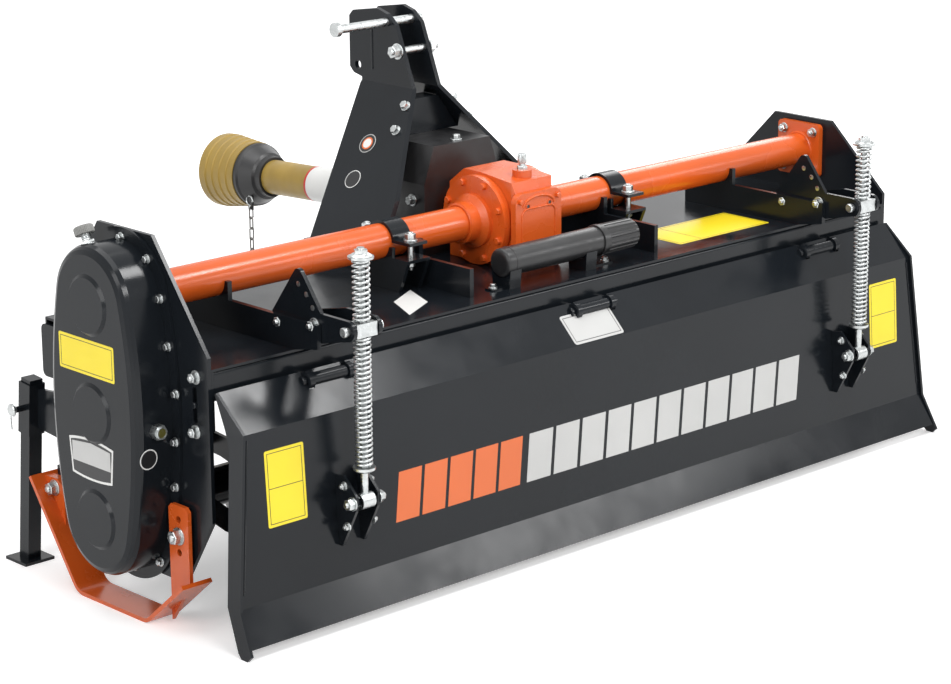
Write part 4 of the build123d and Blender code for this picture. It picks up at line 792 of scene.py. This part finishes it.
def hitch():
    """Linch pins through the ends of the lower hitch pins."""
    for side, sign in SIDES:
        tip = off("lower_hitch", 0 if sign < 0 else 1).x
        hole = at(tip - sign * LINCH_INSET, *HITCH_PIN)
        mesh = bmesh.new()
        tube(mesh, [hole + UP * 0.034, hole + UP * 0.030, hole - UP * 0.020, hole - UP * 0.024],
             lambda i: 0.003 if i == 3 else 0.0046, 14)
        turned(mesh, aimed(hole + UP * 0.014, UP), ((0.0075, 0), (0.0075, 0.012), (0.0060, 0.014)), 20)
        ring = [hole + Vector((0, y, 0.0075 + z)) for z, y in arc(LINCH_RING_R, 20, 320, 30)]
        tube(mesh, ring, 0.0021, 10)
        piece(f"linch_pin_{side}", mesh, ZINC)


# ---------------------------------------------------------------- clamps and canister
CLAMP_X = 0.306
CLAMP_BOLT_Y, CLAMP_BOLT_FOOT = 0.064, 0.570
CAN_R = 0.029
CAN_CAP_R = 0.0325
CAN_Y = -0.175
CAN_Z = 0.556
CAN_LEFT, CAN_SPLIT, CAN_RIGHT = -0.172, 0.096, 0.199
CAN_RIBS = 18
CAN_FEET = ((-0.152, -0.037), (0.060, 0.064))        # x, and how far its strap reaches


def clamps():
    bolts = bmesh.new()
    nuts = bmesh.new()
    for x in (-CLAMP_X, CLAMP_X):
        for y in (-CLAMP_BOLT_Y, CLAMP_BOLT_Y):
            top, _ = land("tube_clamps", at(x, y, 0.70), -UP)
            bolt(bolts, top, UP, "clamp_head", 0.4)
            under, _ = land("tube_clamps", at(x, y, 0.53), UP)
            bolt(nuts, under, -UP, "clamp_nut", 0.7)
            tube(bolts, [top, Vector((top.x, top.y, CLAMP_BOLT_FOOT))], 0.0055, 16)
    piece("clamp_bolts", bolts, ZINC)
    piece("clamp_nuts", nuts, ZINC)


def cap_ring(radius, x, depth):
    """A ring of the canister's cap, its grooves that deep."""
    points = []
    for i, (across, up) in enumerate(circle(1.0, CAN_RIBS * 6)):
        reach = radius - (depth if i % 6 in (2, 3, 4) else 0)
        points.append((reach * across, reach * up, x))
    return points


def canister():
    """The document tube: a plain body with a rounded end, and a ribbed screw cap."""
    place = aimed(at(0, CAN_Y, CAN_Z), ALONG)
    mesh = bmesh.new()
    profile = [(0.55 * CAN_R, CAN_LEFT - 0.0005), (0.80 * CAN_R, CAN_LEFT + 0.0005)]
    for inward, outward in arc(0.006, 15, 75, 5):
        profile.append((CAN_R - 0.006 + outward, CAN_LEFT + 0.007 - inward))
    band = CAN_R + 0.0008
    profile += [(CAN_R, CAN_LEFT + 0.022), (band, CAN_LEFT + 0.0225), (band, CAN_LEFT + 0.0245),
                (CAN_R, CAN_LEFT + 0.025), (CAN_R, CAN_SPLIT)]
    turned(mesh, place, profile, 56)
    made = piece("canister_body", mesh, BLACK_PLASTIC, soften=40)
    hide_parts("canister")
    mesh = bmesh.new()
    neck = CAN_CAP_R - 0.0012
    steps = (
        (CAN_CAP_R - 0.001, CAN_SPLIT - 0.001, 0),
        (CAN_CAP_R, CAN_SPLIT, 0),
        (CAN_CAP_R, CAN_SPLIT + 0.007, 0),
        (neck, CAN_SPLIT + 0.008, 0),
        (neck, CAN_SPLIT + 0.016, 0),
        (neck, CAN_SPLIT + 0.018, 0.0018),
        (CAN_CAP_R - 0.002, CAN_RIGHT - 0.008, 0.0018),
        (CAN_CAP_R - 0.003, CAN_RIGHT - 0.003, 0.001),
        (CAN_CAP_R - 0.006, CAN_RIGHT, 0),
        (CAN_CAP_R * 0.5, CAN_RIGHT + 0.0005, 0),
    )
    rings(mesh, place, [cap_ring(*step) for step in steps])
    piece("canister_cap", mesh, BLACK_PLASTIC, soften=28)
    canister_feet()


def canister_feet():
    """Saddles under the canister, each with a strap bolted to the deck."""
    feet = bmesh.new()
    bolts = bmesh.new()
    deck_top, _ = land("hood", at(0, CAN_Y, 0.8), -UP)
    saddle = [(y, CAN_Z - deck_top.z + z) for y, z in arc(CAN_R + 0.0008, 205, 130, 12)]
    saddle += [(0.024, 0.0), (-0.024, 0.0)]
    for x, reach in CAN_FEET:
        foot = Vector((MID.x + x, MID.y + CAN_Y, deck_top.z))
        prism(feet, framed(foot, FORWARD, UP, ALONG), saddle, -0.015, 0.015)
        strap = Matrix.Translation(foot) @ Matrix.Translation((reach / 2, 0, 0))
        prism(feet, strap, rounded(abs(reach) + 0.026, 0.026, 0.005), 0.0, 0.003)
        bolt(bolts, foot + Vector((reach, 0, 0.003)), UP, "canister")
    piece("canister_feet", feet, BLACK)
    piece("canister_bolts", bolts, ZINC)


# ---------------------------------------------------------------- rods, arms and clevises
ROD_X, ROD_Y = 0.700, -0.372
GUSSET_SIDE = -0.0145            # a place beside a gusset, between it and the rod, from the rod
ROD_DOMES = ((0.698, 1), (0.300, -1))                # z, and up or down
TRUNNION_Z = 0.564
GUSSET_RIVETS = ((-0.237, 0.628), (-0.259, 0.612), (-0.276, 0.590))                 # y, z
GUSSET_BOLTS = ((-0.187, 0.549), (-0.281, 0.559))                                   # y, z
CLEVIS_BOLTS = ((-0.350, 0.268), (-0.358, 0.192))                                   # y, z
ROD_EYE = (ROD_Y, 0.239)                                                            # y, z


def rods():
    for side, sign in SIDES:
        rod_x = sign * ROD_X
        mesh = bmesh.new()
        for z, way in ROD_DOMES:
            place = aimed(at(rod_x, ROD_Y, z), UP * way)
            turned(mesh, place, ((0.0205, 0.0), (0.0205, 0.0012), (0.0160, 0.0045), (0.0118, 0.0062),
                                 (0.0100, 0.0064)))
        piece(f"rod_domes_{side}", mesh, ZINC, f"rod_{side}")
        mesh = bmesh.new()
        for y, z in GUSSET_RIVETS:
            for direction, start in ((ALONG, rod_x - 0.2), (-ALONG, rod_x + GUSSET_SIDE)):
                point, _ = land("rod_arms", at(start, y, z), direction)
                head = ((0.0052, 0.0), (0.0052, 0.0004), (0.0044, 0.0006))
                turned(mesh, aimed(point, -direction), head, 20)
        piece(f"gusset_rivets_{side}", mesh, ZINC)
        rows = [(rod_x - 0.2, y, z) for y, z in GUSSET_BOLTS]
        fasten(f"gusset_nuts_{side}", "rod_arms", rows, ALONG, "gusset")
        mesh = bmesh.new()
        for corner, direction in zip(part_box(f"trunnion_{side}"), (-ALONG, ALONG)):
            tip = Vector((corner.x, MID.y + ROD_Y, TRUNNION_Z))
            turned(mesh, aimed(tip, direction), ((0.0095, -0.002), (0.0095, 0.004), (0.0075, 0.006)), 24)
        piece(f"trunnion_heads_{side}", mesh, ZINC, f"trunnion_{side}")
        across_clevis(f"clevis_bolts_{side}", rod_x, CLEVIS_BOLTS, "clevis")
        across_clevis(f"eye_bolt_{side}", rod_x, (ROD_EYE,), "eye")


def across_clevis(name, rod_x, places, kind):
    """Bolts across a clevis on the tailboard, a head or nut on each side."""
    mesh = bmesh.new()
    for y, z in places:
        for start, direction in ((rod_x - 0.2, ALONG), (rod_x + 0.2, -ALONG)):
            point, _ = land("rod_clevises", at(start, y, z), direction)
            bolt(mesh, point, -direction, kind)
    piece(name, mesh, ZINC, "tailboard")


# ---------------------------------------------------------------- skids and stand
SKID_STRAP = (-0.1525, 0.178)                        # y, z of its bolt
SKID_STRAP_FACE = (-0.170, 0.160)                    # y, z of the face that the bolt sits on
SKID_LUG = (0.231, 0.180)                            # y, z of its bolt
SKID_WELD = ((0.268, 0.184), (0.222, 0.120))         # y, z of its ends
STAND_LEAN = math.radians(5.5)
STAND_FOOT_Y = 0.351
STAND_PIN_Z = 0.322


def skids():
    """The big bolts that hold the skids, and the weld down each front arm."""
    for side, sign in SIDES:
        node = f"skid_{side}"
        start = off(node, 0 if sign < 0 else 1).x + sign * 0.1
        outward = sign * ALONG
        strap, _ = land(node, at(start, *SKID_STRAP_FACE), -outward)
        lug, _ = land(node, at(start, *SKID_LUG), -outward)
        strap_y, strap_z = SKID_STRAP
        lug_y, lug_z = SKID_LUG
        mesh = bmesh.new()
        bolt(mesh, Vector((strap.x, MID.y + strap_y, strap_z)), outward, "skid_strap", 0.2)
        bolt(mesh, Vector((lug.x, MID.y + lug_y, lug_z)), outward, "skid_lug", 0.5)
        piece(f"skid_bolts_{side}", mesh, ZINC)
        mesh = bmesh.new()
        ends = [Vector((lug.x, MID.y + y, z)) for y, z in SKID_WELD]
        weld(mesh, *ends, 0.0034, 0.006)
        piece(f"skid_weld_{side}", mesh, ORANGE)


def stand():
    """The head of the stand's locking pin and the clip that hangs from it."""
    low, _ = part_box("stand_sleeve")
    pin_y = STAND_FOOT_Y - STAND_PIN_Z * math.tan(STAND_LEAN)
    head = Vector((low.x, MID.y + pin_y, STAND_PIN_Z))
    mesh = bmesh.new()
    turned(mesh, aimed(head, -ALONG), ((0.0065, -0.002), (0.0065, 0.003), (0.0120, 0.0035), (0.0120, 0.0075),
                                       (0.0105, 0.0090)), 28)
    clip = [head + Vector((-0.0055, y, z - 0.002)) for z, y in arc(0.011, -150, 300, 24)]
    clip.append(head + Vector((-0.0050, 0.004, -0.040)))
    tube(mesh, clip, 0.0014, 8)
    piece("stand_pin_clip", mesh, ZINC)


# ---------------------------------------------------------------- drive shaft
SHAFT_DROOP = math.radians(2.9)
GUARD_LABEL_R = 0.0384
GUARD_LABEL = (0.455, 0.583)     # from the tube's middle
GUARD_EDGE = 0.006               # width of the label's red edge


def drive_shaft():
    """The label round the drive shaft's guard."""
    axis = Vector((0, math.cos(SHAFT_DROOP), -math.sin(SHAFT_DROOP)))
    start, end = GUARD_LABEL
    for name, low, high, material, lift in (
        ("guard_label", start, end, WHITE_FILM, 0.0),
        ("guard_label_edge", end - GUARD_EDGE, end, RED_FILM, FILM),
    ):
        mesh = bmesh.new()
        profile = [(GUARD_LABEL_R + lift, reach / math.cos(SHAFT_DROOP)) for reach in (low, high)]
        turned(mesh, aimed(at(0, 0, TUBE_Z), axis), profile, 64)
        piece(name, mesh, material)


def chain_hook():
    """The wire hook that holds the guard's chain to the collar's side."""
    low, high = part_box("guard_chain")
    link = Vector(((low.x + high.x) / 2, (low.y + high.y) / 2, high.z))
    points = [link + Vector((-0.0035, y, 0.0130 + z)) for z, y in arc(0.0105, -100, 300, 26)]
    points.append(link + Vector((-0.0030, 0.004, -0.004)))
    points.append(link + Vector((-0.0010, 0.003, -0.012)))
    mesh = bmesh.new()
    tube(mesh, points, 0.0017, 8)
    piece("chain_hook", mesh, ZINC)


# ---------------------------------------------------------------- tailboard and deck
STRIPE_Z, STRIPE_H = 0.2055, 0.095
STRIPE_SKEW = 0.014
STRIPE_SHARE = 0.44              # half a stripe's width, of the stripes' pitch
STRIPES = (
    # name, left and right end, count, material
    ("stripe_orange", -0.585, -0.256, 5, ORANGE_FILM),
    ("stripe_silver", -0.246, 0.561, 11, SILVER_FILM),
)
BOARD_LABEL = (0.8435, 0.290)                        # x, z
DATA_PLATE = (-0.0285, 0.4255)                       # x, z
BOARD_WELD = ((0.9285, 0.390), (0.9585, 0.110))      # x, z of its ends
DECK_LABEL = (0.485, -0.114)                         # x, y
# The pale patch on the deck is a painted reflection of bright light on the gloss paint, made as white film.
DECK_REFLECTION = ((-0.434, -0.203), (-0.392, -0.110), (-0.308, -0.064), (-0.345, -0.156))    # its corners' x, y
HINGE = (-0.262, 0.452)                              # y, z
HINGE_XS = (-0.690, 0.0, 0.690)


def tailboard():
    body = "tailboard"
    start = off("tailboard", 0).y - 0.2
    for name, left, right, count, material in STRIPES:
        pitch = (right - left) / count
        half, lean, top = STRIPE_SHARE * pitch, STRIPE_SKEW / 2, STRIPE_H / 2
        outline = [(-half - lean, -top), (half - lean, -top), (half + lean, top), (-half + lean, top)]
        for i in range(count):
            middle = at(left + (i + 0.5) * pitch, start, STRIPE_Z)
            patch(f"{name}_{i + 1}", "tailboard", middle, FORWARD, outline, material, body)
    x, z = BOARD_LABEL
    for side, sign in SIDES:
        label(f"board_label_{side}", "tailboard", at(sign * x, start, z), FORWARD, (0.091, 0.143),
              YELLOW_FILM, body, bars=((0, 0.0, 0.079, PRINT_LINE),))
    x, z = DATA_PLATE
    label("data_plate", "tailboard", at(x, start, z), FORWARD, (0.137, 0.068), SILVER_FILM, body,
          corner=0.006)
    mesh = bmesh.new()
    for _, sign in SIDES:
        ends = [land("tailboard", at(sign * (x - 0.003), start, z), FORWARD)[0] for x, z in BOARD_WELD]
        weld(mesh, *ends, 0.0022, 0.006)
    piece("board_welds", mesh, BLACK, body)


def deck():
    label("deck_label", "hood", at(*DECK_LABEL, 0.8), -UP, (0.280, 0.132), YELLOW_FILM,
          bars=((-0.07, 0, PRINT_LINE, 0.120),))
    # White film laid on the deck as a painted reflection, not a mark that the deck has.
    middle_x = sum(x for x, _ in DECK_REFLECTION) / 4
    middle_y = sum(y for _, y in DECK_REFLECTION) / 4
    outline = [(x - middle_x, y - middle_y) for x, y in reversed(DECK_REFLECTION)]
    patch("deck_painted_reflection", "hood", at(middle_x, middle_y, 0.8), -UP, outline, WHITE_FILM)


def hinges():
    """Pins through the tailboard's hinges, with discs that close the lugs' bores."""
    mesh = bmesh.new()
    for x in HINGE_XS:
        low, high = at(x - 0.060, *HINGE), at(x + 0.060, *HINGE)
        tube(mesh, [low, high], 0.0064, 20)
        for _, sign in SIDES:
            lug = at(x + sign * 0.0415, *HINGE)
            turned(mesh, aimed(lug, sign * ALONG), ((0.0162, 0.0), (0.0162, 0.0115), (0.0150, 0.0120)), 28)
        for end, direction in ((low, -ALONG), (high, ALONG)):
            turned(mesh, aimed(end, direction), ((0.0095, -0.001), (0.0095, 0.003), (0.0080, 0.004)), 24)
    piece("hinge_pins", mesh, BLACK)


# ---------------------------------------------------------------- floor, light and camera
CAMERA_AT = (-3.94864, -4.14436, 1.93551)
CAMERA_YAW = math.radians(43.077)
CAMERA_PITCH = math.radians(15.697)
CAMERA_ROLL = math.radians(-0.359)
FOCAL = 108.96
WHITE = (1, 1, 1, 1)
FLOOR_SIZE = 30
FLOOR_GLOW, GLOW_FROM = 0.40, 1.4        # strength, and up to how far from the middle
FAR_GLOW, GLOW_TO = 0.95, 4.0
WORLD_LIGHT = 0.30
LAMPS = (
    # name, place, aim, width, height, watts
    ("overhead", (-0.6, 0.3, 3.6), (0, 0, 0.3), 3.4, 2.6, 72),
    ("window", (0.9, -1.3, 3.0), (-0.9, -0.1, 0.5), 0.8, 0.8, 38),
    ("rear_right", (2.6, -2.9, 1.9), (0, -0.3, 0.4), 1.4, 0.7, 26),
    ("left", (-4.2, -0.6, 2.0), (-0.6, 0, 0.4), 1.8, 2.4, 60),
    ("front_left", (-1.4, -4.4, 2.9), (0, 0, 0.4), 1.5, 1.1, 85),
    ("right_back", (3.6, 1.8, 2.6), (0, 0, 0.4), 1.6, 2.0, 45),
)


def camera():
    """The photograph's camera."""
    data = bpy.data.cameras.new("camera")
    data.lens = FOCAL
    data.sensor_width = 36
    data.clip_end = 100
    level_reach = math.cos(CAMERA_PITCH)
    look = Vector(
        (math.sin(CAMERA_YAW) * level_reach, math.cos(CAMERA_YAW) * level_reach, -math.sin(CAMERA_PITCH))
    )
    level = look.cross(UP).normalized()
    above = level.cross(look)
    right = level * math.cos(CAMERA_ROLL) + above * math.sin(CAMERA_ROLL)
    top = above * math.cos(CAMERA_ROLL) - level * math.sin(CAMERA_ROLL)
    made = placed("camera", data)
    made.matrix_world = framed(at(*CAMERA_AT), right, top, -look)
    bpy.context.scene.camera = made


def seen_rays(tree):
    """1 for rays from the camera, off gloss or through glass, which see the white backdrop."""
    rays = add_node(tree, "ShaderNodeLightPath", {}).outputs
    total = rays["Is Camera Ray"]
    for ray in ("Is Glossy Ray", "Is Transmission Ray"):
        total = add_node(tree, "ShaderNodeMath", {0: total, 1: rays[ray]}, "MAXIMUM").outputs[0]
    return total


def white_behind(tree, shader):
    """The shader with a glow that grows with distance, so that the floor looks white far away too.

    Only the rays of seen_rays() see the glow.
    """
    place = add_node(tree, "ShaderNodeTexCoord", {}).outputs["Object"]
    reach = add_node(tree, "ShaderNodeVectorMath", {0: place}, "LENGTH").outputs["Value"]
    inputs = {"Value": reach, "From Min": GLOW_FROM, "From Max": GLOW_TO,
              "To Min": FLOOR_GLOW, "To Max": FAR_GLOW}
    strength = add_node(tree, "ShaderNodeMapRange", inputs).outputs["Result"]
    scaled = add_node(tree, "ShaderNodeMath", {0: seen_rays(tree), 1: strength}, "MULTIPLY").outputs[0]
    glow = add_node(tree, "ShaderNodeEmission", {"Color": WHITE, "Strength": scaled})
    return add_node(tree, "ShaderNodeAddShader", {0: shader.outputs[0], 1: glow.outputs[0]})


def floor():
    mesh = bmesh.new()
    bmesh.ops.create_grid(mesh, x_segments=1, y_segments=1, size=FLOOR_SIZE)
    data = bpy.data.meshes.new("floor")
    mesh.to_mesh(data)
    mesh.free()
    made = placed("floor", data)
    material = bpy.data.materials.new("studio_floor")
    material.use_nodes = True
    tree = material.node_tree
    shader = tree.nodes["Principled BSDF"]
    shader.inputs["Base Color"].default_value = (0.82, 0.82, 0.82, 1)
    shader.inputs["Roughness"].default_value = 0.6
    shader.inputs["Specular IOR Level"].default_value = 0.1
    total = white_behind(tree, shader)
    tree.links.new(total.outputs[0], tree.nodes["Material Output"].inputs["Surface"])
    data.materials.append(material)


def lights():
    """The lamps, and a world that is white where seen_rays() looks and dimmer as a light."""
    for name, place, aim, width, height, watts in LAMPS:
        data = bpy.data.lights.new(name, "AREA")
        data.shape = "RECTANGLE"
        data.size = width
        data.size_y = height
        data.energy = watts
        made = placed(name, data)
        made.location = at(*place)
        made.rotation_euler = (at(*place) - at(*aim)).to_track_quat("Z", "Y").to_euler()
    world = bpy.data.worlds.new("studio")
    world.use_nodes = True
    tree = world.node_tree
    dim = tree.nodes["Background"]
    dim.inputs["Color"].default_value = WHITE
    dim.inputs["Strength"].default_value = WORLD_LIGHT
    full = add_node(tree, "ShaderNodeBackground", {"Color": WHITE, "Strength": 1})
    mix = add_node(tree, "ShaderNodeMixShader", {0: seen_rays(tree), 1: dim.outputs[0], 2: full.outputs[0]})
    tree.links.new(mix.outputs[0], tree.nodes["World Output"].inputs["Surface"])
    bpy.context.scene.world = world


camera()
floor()
lights()
springs()
chain_case()
side_plates()
gearbox()
mast()
clamps()
canister()
rods()
skids()
stand()
drive_shaft()
chain_hook()
tailboard()
deck()
hinges()

bpy.context.scene.view_settings.view_transform = "Standard"
